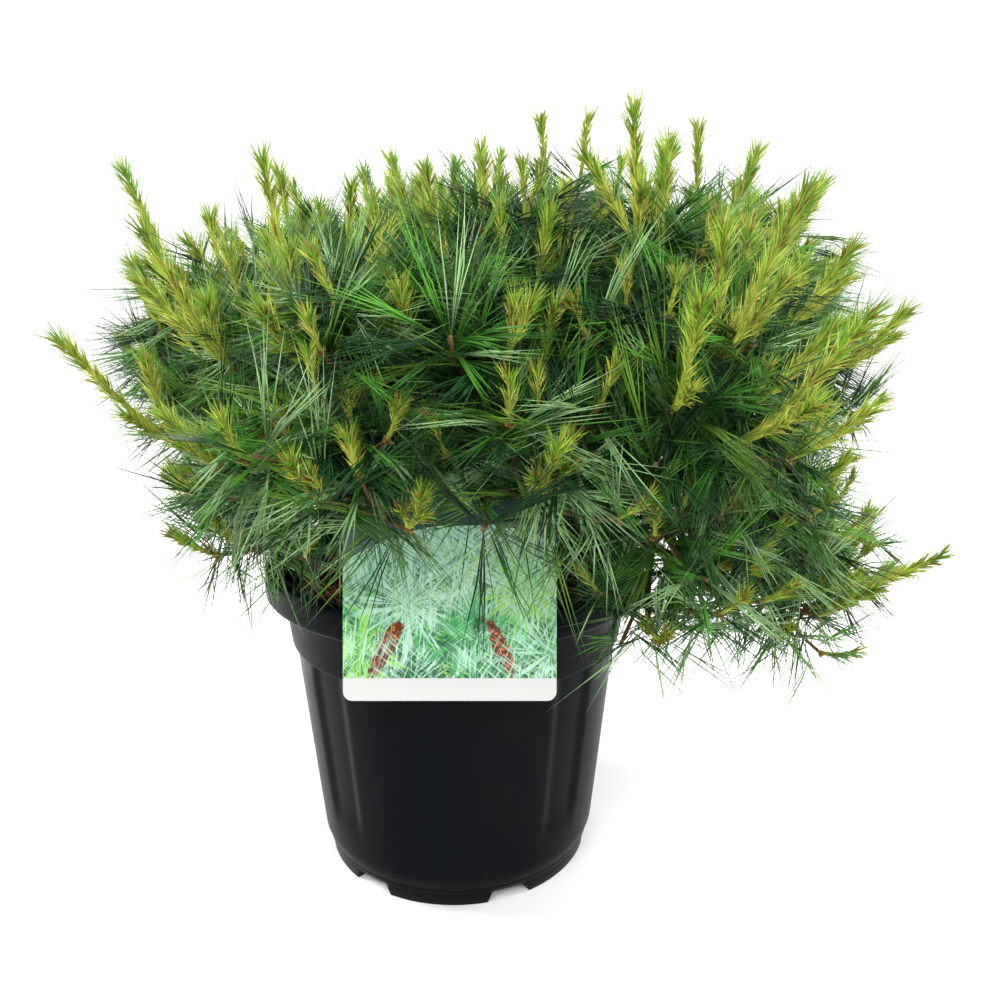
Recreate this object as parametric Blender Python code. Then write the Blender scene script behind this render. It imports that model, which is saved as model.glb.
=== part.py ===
"""A dwarf white pine in a fluted nursery pot, with a picture card hung on one bough.

Metres, +Z up. The origin is the middle of the pot's underside, the front of the plant
looks towards -Y, and a bearing is the angle from the front towards +X.
"""

import math
import random
from collections import namedtuple

import bmesh
import bpy
import numpy as np
from mathutils import Matrix, Vector

# Gap that touching pieces keep.
GAP = 0.0003

# The pot: a tapered wall with a collar and a rolled lip above it.
POT_HEIGHT = 0.185
POT_WALL = 0.0022
FOOT_RADIUS = 0.0800
FOOT_HEIGHT = 0.0078
FOOT_WALL = 0.0065
FLOOR_TOP = 0.0105
CHAMFER_TOP = 0.018
CHAMFER_RADIUS = 0.0840
BODY_TOP = 0.1380
BODY_TOP_RADIUS = 0.0958
COLLAR_FOOT_RADIUS = 0.0982
COLLAR_TOP = 0.1660
COLLAR_TOP_RADIUS = 0.1012
LIP_RADIUS = 0.1117
LIP_FOOT = 0.1682
LIP_SHOULDER = 0.1815
LIP_INNER_RADIUS = 0.1035
PAD_RADIUS = 0.022

# Shallow flutes run down the body from the collar and fade out above the feet.
FLUTES = 4
FLUTE_DEPTH = 0.0019
FLUTE_FADE = (0.030, 0.052)
FLUTE_STEPS = (0.0, 5.0, 15.0, 20.0)
FLUTE_START = 34.5
PANEL_STEPS = 6

# Feet, the notches between them and the drain holes.
FEET = 6
NOTCH_BEARING = 23.5
NOTCH_WIDTH = 0.020
NOTCH_SLOPE = 0.003
DRAIN_RADIUS = 0.006
DRAIN_RING = 0.052

# The filled pot's bark mulch.
SOIL_TOP = 0.1725
SOIL_SIDES = 30
SOIL_BUMP = 0.0022
SOIL_CLEAR = 0.0006

# The trunk, from a flat cut on the mulch to the tip that carries the top shoots.
TRUNK_FOOT = Vector((0.000, 0.004, SOIL_TOP + GAP))
TRUNK_TIP = Vector((0.014, 0.010, 0.311))
TRUNK_FLARE = 0.0175
TRUNK_RADIUS = 0.0120
TRUNK_TIP_RADIUS = 0.0042
FLARE_HEIGHT = 0.014
TRUNK_SIDES = 10

# Boughs. Each leaves the trunk low, rises or arches out to its tip, and thins steadily.
BOUGH_ROOT_RADIUS = 0.0046
BOUGH_TIP_RADIUS = 0.0028
BOUGH_SIDES = 5
BOUGH_STEPS = 4
BOUGH_COLLAR = 0.0025

# bearing, reach and height: where the tip lies. rise: how steeply its shoots point up.
# arch: how far the middle stands above a straight line. candle: length of its new growth.
# fork: how high it leaves the trunk. under: how low its needles may hang.
Bough = namedtuple("Bough", "name bearing reach height rise arch candle fork under")
BOUGHS = (
    Bough("left_low", -60, 0.082, 0.220, 10, 0.016, 0.040, 0.192, 0.197),
    Bough("front_left", -15, 0.127, 0.256, 8, 0.027, 0.038, 0.2375, 0.236),
    Bough("front_centre", 14, 0.127, 0.255, 12, 0.025, 0.036, 0.2205, 0.234),
    Bough("front_right_low", 48, 0.126, 0.218, -4, 0.024, 0.028, 0.189, 0.178),
    Bough("right_low", 77, 0.158, 0.190, -20, 0.030, 0.075, 0.1995, 0.146),
    Bough("right_back_low", 108, 0.152, 0.216, 4, 0.020, 0.034, 0.189, 0.150),
    Bough("back_right_low", 151, 0.140, 0.222, 8, 0.018, 0.034, 0.203, 0.157),
    Bough("back_left_low", -166, 0.136, 0.218, 6, 0.018, 0.032, 0.191, 0.149),
    Bough("left_back_low", -124, 0.118, 0.222, 8, 0.018, 0.034, 0.204, 0.170),
    Bough("right_front", 67, 0.141, 0.224, 14, 0.020, 0.036, 0.2125, 0.175),
    Bough("left", -79, 0.098, 0.259, 8, 0.012, 0.106, 0.220, 0.247),
    Bough("front", -4, 0.106, 0.290, 34, 0.008, 0.036, 0.2485, 0.256),
    Bough("front_right", 41, 0.134, 0.277, 40, 0.014, 0.095, 0.230, 0.215),
    Bough("right", 92, 0.144, 0.289, 30, 0.016, 0.054, 0.2415, 0.205),
    Bough("right_back", 124, 0.148, 0.284, 28, 0.014, 0.056, 0.218, 0.215),
    Bough("back", 166, 0.140, 0.288, 30, 0.012, 0.054, 0.231, 0.220),
    Bough("back_left", -156, 0.138, 0.280, 38, 0.012, 0.052, 0.218, 0.220),
    Bough("left_back", -122, 0.123, 0.276, 28, 0.012, 0.054, 0.234, 0.225),
    Bough("left_high", -90, 0.106, 0.284, 50, 0.006, 0.100, 0.250, 0.250),
    Bough("front_left_high", -47, 0.076, 0.277, 72, 0.004, 0.092, 0.260, 0.260),
    Bough("front_high", 27, 0.068, 0.300, 58, 0.004, 0.038, 0.266, 0.270),
    Bough("right_front_high", 64, 0.112, 0.302, 58, 0.004, 0.065, 0.2565, 0.260),
    Bough("right_high", 100, 0.146, 0.311, 40, 0.008, 0.074, 0.274, 0.250),
    Bough("back_right_high", 136, 0.106, 0.323, 58, 0.004, 0.062, 0.2505, 0.270),
    Bough("back_left_high", -158, 0.084, 0.310, 68, 0.004, 0.054, 0.2635, 0.270),
    Bough("left_back_high", -100, 0.070, 0.306, 74, 0.004, 0.050, 0.276, 0.270),
)
TOP = Bough("top", 40, 0.0, TRUNK_TIP.z, 88, 0.0, 0.058, None, 0.300)

# Masses: a stem, forking twigs, and on each twig a spray of needles under a candle.
STEM_LENGTH = 0.014
STEM_RADIUS = 0.0026
TWIG_RADIUS = 0.0022
TWIG_TIP_RADIUS = 0.0013
LEADER_LENGTH = 0.012
SIDE_TWIGS = 3
SIDE_LENGTH = 0.037
SIDE_SPREAD = 62
SIDE_TRIES = [(swing, share) for share in (1.0, 0.8) for swing in (0, 25, -25, 50, -50)]
SPRAY_APART = 0.034
SPRAY_ABOVE = 0.010
TWIG_LIFT = 0.35
MASS_CENTRE = 0.030
MASS_REACH = 0.084
SHOOT_SIDES = 4
NEEDLE_LENGTH = 0.067
NEEDLE_TRIES = (1.0, 0.8, 0.6)
NEEDLE_DROOP = 0.10
SPRAY_CORE_RADIUS = 0.0034
SPRAY_CORE_LENGTH = 0.015
SPRAY_ANGLES = (108, 80, 50)
CANDLE_RADIUS = 0.0038
CANDLE_NECK = 0.006
CANDLE_NECK_RADIUS = 0.0014
CANDLE_TOOTH = 0.011
CANDLE_ANGLE = 38
CANDLE_LIFT = 0.9
CANDLE_TRIES = (1.0, 0.75, 0.5, 0.0)
LONG_CANDLE = 0.045
SPACE_MARGIN = 0.0008
LIMB_MARGIN = 0.0012
POT_MARGIN = 0.002
SEED = 31

# The picture card: it leans on the lip and hangs by a tongue on the front centre bough.
CARD_WIDTH = 0.1025
CARD_MIDDLE = 0.0022
CARD_FOOT = 0.1475
CARD_TOP = 0.2500
CARD_SLOPE = 0.25
CARD_THICKNESS = 0.0006
CARD_CORNER = 0.0045
TONGUE_HALF_WIDTH = 0.0090
TONGUE_FOOT_HALF_WIDTH = 0.0200
TONGUE_SLIT = 0.0012
CARD_BOUGH = "front_centre"


def towards(bearing, rise=0.0):
    """The unit vector at this bearing, tilted up by rise, both in degrees."""
    turn, tilt = math.radians(bearing), math.radians(rise)
    flat = math.cos(tilt)
    return Vector((flat * math.sin(turn), -flat * math.cos(turn), math.sin(tilt)))


def blend(a, b, share):
    return a + (b - a) * share


def material(name, colour, roughness):
    made = bpy.data.materials.new(name)
    made.use_nodes = True
    shader = made.node_tree.nodes["Principled BSDF"]
    shader.inputs["Base Color"].default_value = (*colour, 1.0)
    shader.inputs["Roughness"].default_value = roughness
    shader.inputs["Metallic"].default_value = 0.0
    return made


def mesh_object(name, points, faces, surface=None, collection=None):
    mesh = bpy.data.meshes.new(name)
    mesh.from_pydata([tuple(p) for p in points], [], faces)
    mesh.update()
    if surface:
        mesh.materials.append(surface)
    made = bpy.data.objects.new(name, mesh)
    (collection or bpy.context.scene.collection).objects.link(made)
    return made


def ring_faces(rings, sides):
    """Quads between rings of points that follow each other, with both ends capped."""
    faces = [tuple(reversed(range(sides)))]
    for level in range(rings - 1):
        low, high = level * sides, (level + 1) * sides
        for i in range(sides):
            j = (i + 1) % sides
            faces.append((low + i, low + j, high + j, high + i))
    faces.append(tuple((rings - 1) * sides + i for i in range(sides)))
    return faces


def frames_along(path):
    """A direction and two cross directions at each point, turning as little as they can."""
    count = len(path)
    across = None
    frames = []
    for i in range(count):
        ahead = (path[min(i + 1, count - 1)] - path[max(i - 1, 0)]).normalized()
        if across is None:
            across = ahead.orthogonal().normalized()
        across = (across - ahead * across.dot(ahead)).normalized()
        frames.append((ahead, across, ahead.cross(across)))
    return frames


def tube_points(path, radii, sides):
    points = []
    for centre, radius, (_, across, up) in zip(path, radii, frames_along(path)):
        for i in range(sides):
            turn = 2 * math.pi * i / sides
            points.append(centre + (across * math.cos(turn) + up * math.sin(turn)) * radius)
    return points


def tube(name, path, radii, sides, surface=None, collection=None):
    points = tube_points(path, radii, sides)
    return mesh_object(name, points, ring_faces(len(path), sides), surface, collection)


def apply_modifiers(made):
    graph = bpy.context.evaluated_depsgraph_get()
    finished = bpy.data.meshes.new_from_object(made.evaluated_get(graph))
    made.modifiers.clear()
    made.data = finished


def keep_outer_shell(made):
    """Fills hollows that fusing sealed and drops loose scraps: only the main shell stays."""
    shape = bmesh.new()
    shape.from_mesh(made.data)
    unseen = set(shape.verts)
    shells = []
    while unseen:
        reached = [unseen.pop()]
        for vert in reached:
            for edge in vert.link_edges:
                other = edge.other_vert(vert)
                if other in unseen:
                    unseen.remove(other)
                    reached.append(other)
        shells.append(reached)
    main_shell = max(shells, key=len)
    spare = [vert for shell in shells if shell is not main_shell for vert in shell]
    bmesh.ops.delete(shape, geom=spare, context="VERTS")
    shape.to_mesh(made.data)
    shape.free()


def join_in_one(body, others, surface):
    """Joins every object of a collection to the body in one union, and removes them."""
    union = body.modifiers.new("join", "BOOLEAN")
    union.operation = "UNION"
    union.operand_type = "COLLECTION"
    union.collection = others
    union.solver = "MANIFOLD"
    apply_modifiers(body)
    for piece in list(others.objects):
        bpy.data.objects.remove(piece)
    bpy.data.collections.remove(others)
    keep_outer_shell(body)
    body.data.materials.clear()
    body.data.materials.append(surface)


def cut(body, cutter):
    cutter.hide_render = True
    cutter.display_type = "WIRE"
    difference = body.modifiers.new(cutter.name, "BOOLEAN")
    difference.operation = "DIFFERENCE"
    difference.object = cutter
    difference.solver = "EXACT"


def smooth(made, angle=32):
    made.data.shade_smooth()
    made.data.set_sharp_from_angle(angle=math.radians(angle))


# Pot


def wall_bearings():
    """Bearings of the wall's corners, each with 1 on a flute's floor and 0 beside it."""
    pitch = 360 / FLUTES
    panel = pitch - FLUTE_STEPS[-1]
    corners = []
    for flute in range(FLUTES):
        start = FLUTE_START + pitch * flute
        for place, step in enumerate(FLUTE_STEPS):
            corners.append((start + step, float(place in (1, 2))))
        for step in range(1, PANEL_STEPS):
            corners.append((start + FLUTE_STEPS[-1] + panel * step / PANEL_STEPS, 0.0))
    return corners


def body_radius(height):
    share = (height - CHAMFER_TOP) / (BODY_TOP - CHAMFER_TOP)
    return blend(CHAMFER_RADIUS, BODY_TOP_RADIUS, share)


def pot_profile():
    """(radius, height, flute share) from the pad under the floor, up the outside and back in."""
    fade_low, fade_high = FLUTE_FADE
    inside = POT_WALL
    return (
        (PAD_RADIUS, 0.0, 0),
        (PAD_RADIUS, FOOT_HEIGHT, 0),
        (FOOT_RADIUS - FOOT_WALL, FOOT_HEIGHT, 0),
        (FOOT_RADIUS - FOOT_WALL, 0.0, 0),
        (FOOT_RADIUS, 0.0, 0),
        (FOOT_RADIUS + 0.0006, FOOT_HEIGHT, 0),
        (CHAMFER_RADIUS, CHAMFER_TOP, 0),
        (body_radius(fade_low), fade_low, 0),
        (body_radius(fade_high), fade_high, 1),
        (BODY_TOP_RADIUS, BODY_TOP, 1),
        (COLLAR_FOOT_RADIUS, BODY_TOP + 0.0010, 0),
        (COLLAR_TOP_RADIUS, COLLAR_TOP, 0),
        (LIP_RADIUS - 0.0008, LIP_FOOT, 0),
        (LIP_RADIUS, LIP_FOOT + 0.0030, 0),
        (LIP_RADIUS - 0.0003, LIP_SHOULDER, 0),
        (LIP_RADIUS - 0.0030, POT_HEIGHT, 0),
        (LIP_INNER_RADIUS, POT_HEIGHT, 0),
        (COLLAR_TOP_RADIUS - inside, COLLAR_TOP, 0),
        (COLLAR_FOOT_RADIUS - inside, BODY_TOP + 0.0034, 0),
        (BODY_TOP_RADIUS - inside, BODY_TOP, 1),
        (body_radius(fade_high) - inside, fade_high, 1),
        (body_radius(fade_low) - inside, fade_low, 0),
        (CHAMFER_RADIUS - inside, FLOOR_TOP, 0),
    )


def notch_cutter():
    """Six blunt wedges that part the foot ring into feet, and six drain holes between them."""
    shape = bmesh.new()
    inner = FOOT_RADIUS - FOOT_WALL - 0.006
    outer = FOOT_RADIUS + 0.010
    for foot in range(FEET):
        bearing = NOTCH_BEARING + 360 / FEET * foot
        out, side = towards(bearing), towards(bearing + 90)
        corners = []
        for height, half in ((-0.004, NOTCH_WIDTH / 2 + NOTCH_SLOPE), (FOOT_HEIGHT, NOTCH_WIDTH / 2)):
            for reach, way in ((inner, -1), (outer, -1), (outer, 1), (inner, 1)):
                point = out * reach + side * (half * way)
                point.z = height
                corners.append(shape.verts.new(point))
        for face in ring_faces(2, 4):
            shape.faces.new([corners[i] for i in face])
        hole = out * DRAIN_RING
        hole.z = (FOOT_HEIGHT + FLOOR_TOP) / 2
        bmesh.ops.create_cone(
            shape,
            cap_ends=True,
            segments=8,
            radius1=DRAIN_RADIUS,
            radius2=DRAIN_RADIUS,
            depth=(FLOOR_TOP - FOOT_HEIGHT) * 2,
            matrix=Matrix.Translation(hole),
        )
    bmesh.ops.recalc_face_normals(shape, faces=shape.faces)
    mesh = bpy.data.meshes.new("notches")
    shape.to_mesh(mesh)
    shape.free()
    made = bpy.data.objects.new("notches", mesh)
    bpy.context.scene.collection.objects.link(made)
    return made


def build_pot():
    corners = wall_bearings()
    points = []
    for radius, height, share in pot_profile():
        for bearing, recess in corners:
            point = towards(bearing) * (radius - FLUTE_DEPTH * share * recess)
            point.z = height
            points.append(point)
    plastic = material("pot_plastic", (0.022, 0.026, 0.028), 0.42)
    faces = ring_faces(len(pot_profile()), len(corners))
    pot = mesh_object("pot", points, faces, plastic)
    cut(pot, notch_cutter())
    smooth(pot)


def build_soil():
    """The root ball fills the pot, and its top is uneven except round the trunk."""
    clear = POT_WALL + SOIL_CLEAR
    rng = random.Random(SEED)
    levels = (
        (CHAMFER_RADIUS - clear - 0.002, FLOOR_TOP + GAP, 0),
        (BODY_TOP_RADIUS - clear - FLUTE_DEPTH - 0.0016, BODY_TOP - 0.004, 0),
        (COLLAR_FOOT_RADIUS - clear - 0.0016, BODY_TOP + 0.008, 0),
        (COLLAR_TOP_RADIUS - clear - 0.0004, COLLAR_TOP - 0.001, 0),
        (0.088, SOIL_TOP - 0.001, 1),
        (0.062, SOIL_TOP - 0.001, 1),
        (0.036, SOIL_TOP - 0.001, 0.6),
        (TRUNK_FLARE + 0.007, SOIL_TOP, 0),
    )
    points = []
    for radius, height, rough in levels:
        for side in range(SOIL_SIDES):
            point = towards(360 * side / SOIL_SIDES) * radius
            point.z = height + rough * SOIL_BUMP * rng.uniform(-1, 0.6)
            points.append(point)
    mulch = material("bark_mulch", (0.13, 0.055, 0.032), 0.9)
    soil = mesh_object("soil", points, ring_faces(len(levels), SOIL_SIDES), mulch)
    smooth(soil, 40)


# Limbs


def trunk_at(height):
    """Middle and radius of the trunk at this height."""
    share = (height - TRUNK_FOOT.z) / (TRUNK_TIP.z - TRUNK_FOOT.z)
    middle = blend(TRUNK_FOOT, TRUNK_TIP, share)
    sway = math.sin(share * math.pi * 2) * 0.0015
    middle += Vector((sway, -sway, 0.0))
    radius = blend(TRUNK_RADIUS, TRUNK_TIP_RADIUS, share)
    above_foot = (height - TRUNK_FOOT.z) / FLARE_HEIGHT
    radius += (TRUNK_FLARE - TRUNK_RADIUS) * max(0.0, 1 - above_foot) ** 2
    return middle, radius


def trunk_path():
    low, high = TRUNK_FOOT.z, TRUNK_TIP.z
    heights = [low, low + FLARE_HEIGHT * 0.4, low + FLARE_HEIGHT]
    steps = 6
    heights += [blend(low + FLARE_HEIGHT, high, i / steps) for i in range(1, steps + 1)]
    return [trunk_at(height) for height in heights]


def bough_path(bough):
    """Square off the trunk's side behind a gap, then out to the tip in one arched line."""
    middle, _ = trunk_at(bough.fork)
    out = towards(bough.bearing)
    side = 0.0
    for height in (bough.fork - BOUGH_ROOT_RADIUS, bough.fork + BOUGH_ROOT_RADIUS):
        level, radius = trunk_at(height)
        side = max(side, (level - middle).dot(out) + radius)
    root = middle + out * (side + GAP)
    root.z = bough.fork
    collar = root + out * BOUGH_COLLAR
    tip = out * bough.reach
    tip.z = bough.height
    path = [root]
    for step in range(BOUGH_STEPS + 1):
        share = step / BOUGH_STEPS
        point = blend(collar, tip, share)
        point.z += bough.arch * 4 * share * (1 - share)
        path.append(point)
    return path


def bough_radii(bough):
    root = BOUGH_ROOT_RADIUS * blend(0.75, 1.0, min(1.0, bough.reach / 0.15))
    return [root * 1.1] + [blend(root, BOUGH_TIP_RADIUS, i / BOUGH_STEPS) for i in range(BOUGH_STEPS + 1)]


def build_limbs(paths, bark):
    rings = trunk_path()
    middles = [middle for middle, _ in rings]
    points = []
    for middle, radius in rings:
        for side in range(TRUNK_SIDES):
            points.append(middle + towards(360 * side / TRUNK_SIDES) * radius)
    trunk = mesh_object("trunk", points, ring_faces(len(middles), TRUNK_SIDES), bark)
    smooth(trunk, 50)
    for bough, path in zip(BOUGHS, paths):
        made = tube("bough_" + bough.name, path, bough_radii(bough), BOUGH_SIDES, bark)
        smooth(made, 60)


# Picture card


def card_offset():
    """How far forward the card's back lies at height 0, so that it clears the lip."""
    lip = [(r, z) for r, z, _ in pot_profile() if z >= LIP_FOOT]
    return max(radius + CARD_SLOPE * height for radius, height in lip) + GAP * 1.5


def card_back(height):
    return -(card_offset() - CARD_SLOPE * height)


def card_hole(paths):
    """Where the carrying bough passes through the card's plane, and its radius there."""
    place = [b.name for b in BOUGHS].index(CARD_BOUGH)
    path, radii = paths[place], bough_radii(BOUGHS[place])
    for i in range(len(path) - 1):
        ends = [point.y - card_back(point.z) for point in path[i : i + 2]]
        if ends[0] > 0 >= ends[1]:
            share = ends[0] / (ends[0] - ends[1])
            return blend(path[i], path[i + 1], share), blend(radii[i], radii[i + 1], share)
    raise ValueError("the carrying bough doesn't reach the card")


def rounded(corner, start, radius, steps=3):
    """Points of a quarter turn about a corner's centre, start in degrees."""
    turns = [math.radians(start + 90 * i / steps) for i in range(steps + 1)]
    return [(corner[0] + radius * math.cos(t), corner[1] + radius * math.sin(t)) for t in turns]


def card_outline(hole):
    """Points of (across, height), counter-clockwise from the front: a card with a tongue."""
    left, right = CARD_MIDDLE - CARD_WIDTH / 2, CARD_MIDDLE + CARD_WIDTH / 2
    c = CARD_CORNER
    outline = rounded((left + c, CARD_FOOT + c), 180, c)
    outline += rounded((right - c, CARD_FOOT + c), 270, c)
    outline += rounded((right - c, CARD_TOP - c), 0, c)
    outline.append((hole.x + TONGUE_FOOT_HALF_WIDTH, CARD_TOP))
    outline += rounded((hole.x, hole.z), 0, TONGUE_HALF_WIDTH)
    outline += rounded((hole.x, hole.z), 90, TONGUE_HALF_WIDTH)[1:]
    outline.append((hole.x - TONGUE_FOOT_HALF_WIDTH, CARD_TOP))
    outline += rounded((left + c, CARD_TOP - c), 90, c)
    return outline


def build_card(paths):
    hole, bough_radius = card_hole(paths)
    outline = card_outline(hole)
    points = []
    for forward in (CARD_THICKNESS, 0.0):
        points += [(x, card_back(z) - forward, z) for x, z in outline]
    card_print = material("card_print", (0.55, 0.66, 0.56), 0.35)
    count = len(outline)
    faces = ring_faces(2, count)
    card = mesh_object("card", points, [tuple(reversed(face)) for face in faces], card_print)
    place = [b.name for b in BOUGHS].index(CARD_BOUGH)
    path = paths[place]
    near = min(range(len(path) - 1), key=lambda i: ((path[i] + path[i + 1]) / 2 - hole).length)
    along = (path[near + 1] - path[near]).normalized()
    reach = along * 0.008
    clear = bough_radius + GAP * 2
    cut(card, tube("card_hole", [hole - reach, hole + reach], [clear, clear], 10))
    slit_half = TONGUE_SLIT / 2
    slit_length = TONGUE_HALF_WIDTH + 0.004
    low = Vector((hole.x, hole.y - 0.01, hole.z - slit_half))
    high = Vector((hole.x + slit_length, hole.y + 0.01, hole.z + slit_half))
    corners = [(x, y, z) for z in (low.z, high.z) for x, y in
               ((low.x, low.y), (high.x, low.y), (high.x, high.y), (low.x, high.y))]
    cut(card, mesh_object("card_slit", corners, ring_faces(2, 4)))


# Masses


class Space:
    """Says which points belong to a mass: nearer its own centre than any other mass's,
    and clear of the limbs, the pot and the card."""

    def __init__(self, centres, limbs):
        self.centres = np.array([tuple(c) for c in centres])
        self.starts = np.array([tuple(a) for a, _, _ in limbs])
        self.runs = np.array([tuple(b - a) for a, b, _ in limbs])
        self.radii = np.array([radius for _, _, radius in limbs])

    def holds(self, mass, points):
        spots = np.array([tuple(p) for p in points])
        far = np.linalg.norm(spots[:, None] - self.centres[None], axis=2)
        own = far[:, mass].copy()
        far[:, mass] = np.inf
        return bool((own + SPACE_MARGIN < far.min(axis=1)).all())

    def beyond(self, mass, point):
        """Whether a needle's tip here would stand out of the mass's round outline."""
        return (point - Vector(self.centres[mass])).length > MASS_REACH

    def clear_of_limbs(self, points, half_width):
        spots = np.array([tuple(p) for p in points])
        away = spots[:, None] - self.starts[None]
        share = (away * self.runs).sum(axis=2) / (self.runs**2).sum(axis=1)
        nearest = self.runs[None] * np.clip(share, 0, 1)[:, :, None]
        gap = np.linalg.norm(away - nearest, axis=2) - self.radii
        return bool((gap > half_width + LIMB_MARGIN).all())

    def clear_of_pot_and_card(self, points):
        for point in points:
            wide = math.hypot(point.x, point.y) < LIP_RADIUS + POT_MARGIN
            if wide and point.z < POT_HEIGHT + POT_MARGIN:
                return False
        sides = [point.y - card_back(point.z) for point in points]
        for i, point in enumerate(points):
            level = CARD_FOOT - 0.004 < point.z < CARD_TOP + 0.034
            beside = abs(point.x - CARD_MIDDLE) < CARD_WIDTH / 2 + 0.004
            if not (level and beside):
                continue
            crosses = i > 0 and sides[i] * sides[i - 1] < 0
            if crosses or abs(sides[i]) < POT_MARGIN + CARD_THICKNESS:
                return False
        return True


def spaced(start, end, step=0.005):
    count = max(2, int((end - start).length / step) + 1)
    return [blend(start, end, i / (count - 1)) for i in range(count)]


def fits(space, mass, start, end, half_width, skip=0.0):
    """Whether a straight piece keeps to its space. Its first stretch may start at a limb."""
    line = spaced(blend(start, end, skip), end)
    return (
        space.holds(mass, (start, end))
        and space.clear_of_limbs(line, half_width)
        and space.clear_of_pot_and_card(line)
    )


def core_faces(ring_count, sides, spikes):
    """Faces of a ringed core that ends in a point. A quad with a spike becomes four faces."""
    faces = [tuple(reversed(range(sides)))]
    for band in range(ring_count - 1):
        for i in range(sides):
            j = (i + 1) % sides
            low, high = band * sides, (band + 1) * sides
            quad = (low + i, low + j, high + j, high + i)
            point = spikes.get((band, i))
            if point is None:
                faces.append(quad)
            else:
                faces += [(quad[k], quad[(k + 1) % 4], point) for k in range(4)]
    last, tip = (ring_count - 1) * sides, ring_count * sides
    faces += [(last + i, last + (i + 1) % sides, tip) for i in range(sides)]
    return faces


def shoot_rings(twig, way, upright, candle):
    """Rings of a shoot as (middle, radius, spike angles or None for the band that follows)."""
    rings = [(point, radius, None) for point, radius in twig]
    base = twig[-1][0] + way * 0.004
    step = SPRAY_CORE_LENGTH / len(SPRAY_ANGLES)
    for i, angle in enumerate(SPRAY_ANGLES):
        rings.append((base + way * step * i, SPRAY_CORE_RADIUS * (0.8 if i == 0 else 1.0), angle))
    neck = base + way * SPRAY_CORE_LENGTH
    if candle:
        rings.append((neck, CANDLE_NECK_RADIUS * 1.3, None))
        foot = neck + (way + upright).normalized() * CANDLE_NECK
        bands = 3 if candle > LONG_CANDLE else 2
        length = candle - CANDLE_NECK - CANDLE_TOOTH
        for i in range(bands + 1):
            angle = CANDLE_ANGLE if i < bands else None
            radius = CANDLE_NECK_RADIUS if i == 0 else CANDLE_RADIUS * (1.1 - 0.2 * i)
            rings.append((foot + upright * length * i / bands, radius, angle))
        tip = foot + upright * (length + CANDLE_TOOTH)
    else:
        rings.append((neck, SPRAY_CORE_RADIUS * 0.6, None))
        tip = neck + way * 0.006
    return rings, tip


def spike_tip(middle, centre, ahead, angle, length, rng):
    """Where a spike from this middle of a face ends, at this angle from the core's line."""
    away = middle - centre
    out = (away - ahead * away.dot(ahead)).normalized()
    tilt = math.radians(angle + rng.uniform(-9, 9))
    way = out * math.sin(tilt) + ahead * math.cos(tilt)
    way += ahead.cross(out) * rng.uniform(-0.16, 0.16)
    if angle != CANDLE_ANGLE:
        way.z -= NEEDLE_DROOP
    return middle + way.normalized() * length


def build_shoot(space, mass, twig, way, candle, sprays, under, rng, name="shoot", collection=None):
    """A twig, its spray of last year's needles and its candle of new growth, in one mesh."""
    upright = (way + Vector((0, 0, CANDLE_LIFT))).normalized()
    for share in CANDLE_TRIES:
        rings, tip = shoot_rings(twig, way, upright, candle * share)
        path = [middle for middle, _, _ in rings]
        points = tube_points(path, [radius for _, radius, _ in rings], SHOOT_SIDES)
        from_spray = len(twig)
        if space.holds(mass, points[SHOOT_SIDES * 2 :] + [tip]) and fits(
            space, mass, path[from_spray], tip, SPRAY_CORE_RADIUS
        ):
            break
    else:
        return None
    frames = frames_along(path)
    spikes = {}
    tips = []
    first = len(points) + 1
    for band, (centre, _, angle) in enumerate(rings):
        if angle is None:
            continue
        long = angle != CANDLE_ANGLE
        for i in range(SHOOT_SIDES):
            j = (i + 1) % SHOOT_SIDES
            rows = (band * SHOOT_SIDES, (band + 1) * SHOOT_SIDES)
            middle = sum((points[row + k] for row in rows for k in (i, j)), Vector()) / 4
            length = NEEDLE_LENGTH * rng.uniform(0.88, 1.0) if long else CANDLE_TOOTH
            end = spike_tip(middle, centre, frames[band][0], angle, length, rng)
            for share in NEEDLE_TRIES if long else (1.0,):
                spike = blend(middle, end, share)
                own = (spike - sprays[0]).length
                crowded = long and any((spike - other).length < own for other in sprays[1:])
                if crowded or (long and (spike.z < under or space.beyond(mass, spike))):
                    continue
                if fits(space, mass, middle, spike, 0.001, skip=0.12):
                    spikes[(band, i)] = first + len(tips)
                    tips.append(spike)
                    break
    faces = core_faces(len(rings), SHOOT_SIDES, spikes)
    return mesh_object(name, points + [tip] + tips, faces, None, collection)


def side_twigs(space, place, stem, lead, under, rng):
    """Places for the side twigs round the leader, each (root, end, way it points).
    A twig whose place is taken swings round, then shortens, until its spray has room."""
    knee, stem_tip = stem
    across = lead.orthogonal().normalized()
    start = rng.uniform(0, 360)
    found = []
    for side in range(SIDE_TWIGS):
        root = blend(knee, stem_tip, 0.4 + 0.5 * side / SIDE_TWIGS)
        spread = math.radians(SIDE_SPREAD + rng.uniform(-8, 8))
        base = start + 360 * side / SIDE_TWIGS + rng.uniform(-14, 14)
        stretch = rng.uniform(0.85, 1.1)
        for swing, share in SIDE_TRIES:
            turn = math.radians(base + swing)
            around = across * math.cos(turn) + lead.cross(across) * math.sin(turn)
            way = lead * math.cos(spread) + around * math.sin(spread)
            end = stem_tip + way * SIDE_LENGTH * stretch * share
            way = (way + lead * 0.4 + Vector((0, 0, TWIG_LIFT))).normalized()
            room = end + way * SPRAY_CORE_LENGTH * 1.6
            apart = all((end - other).length > SPRAY_APART for _, other, _ in found)
            apart = apart and end.z > under + SPRAY_ABOVE
            clear = fits(space, place, blend(root, end, 0.3), room, SPRAY_CORE_RADIUS + 0.001)
            if apart and clear and space.holds(place, (root,)):
                found.append((root, end, way))
                break
    return found


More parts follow.
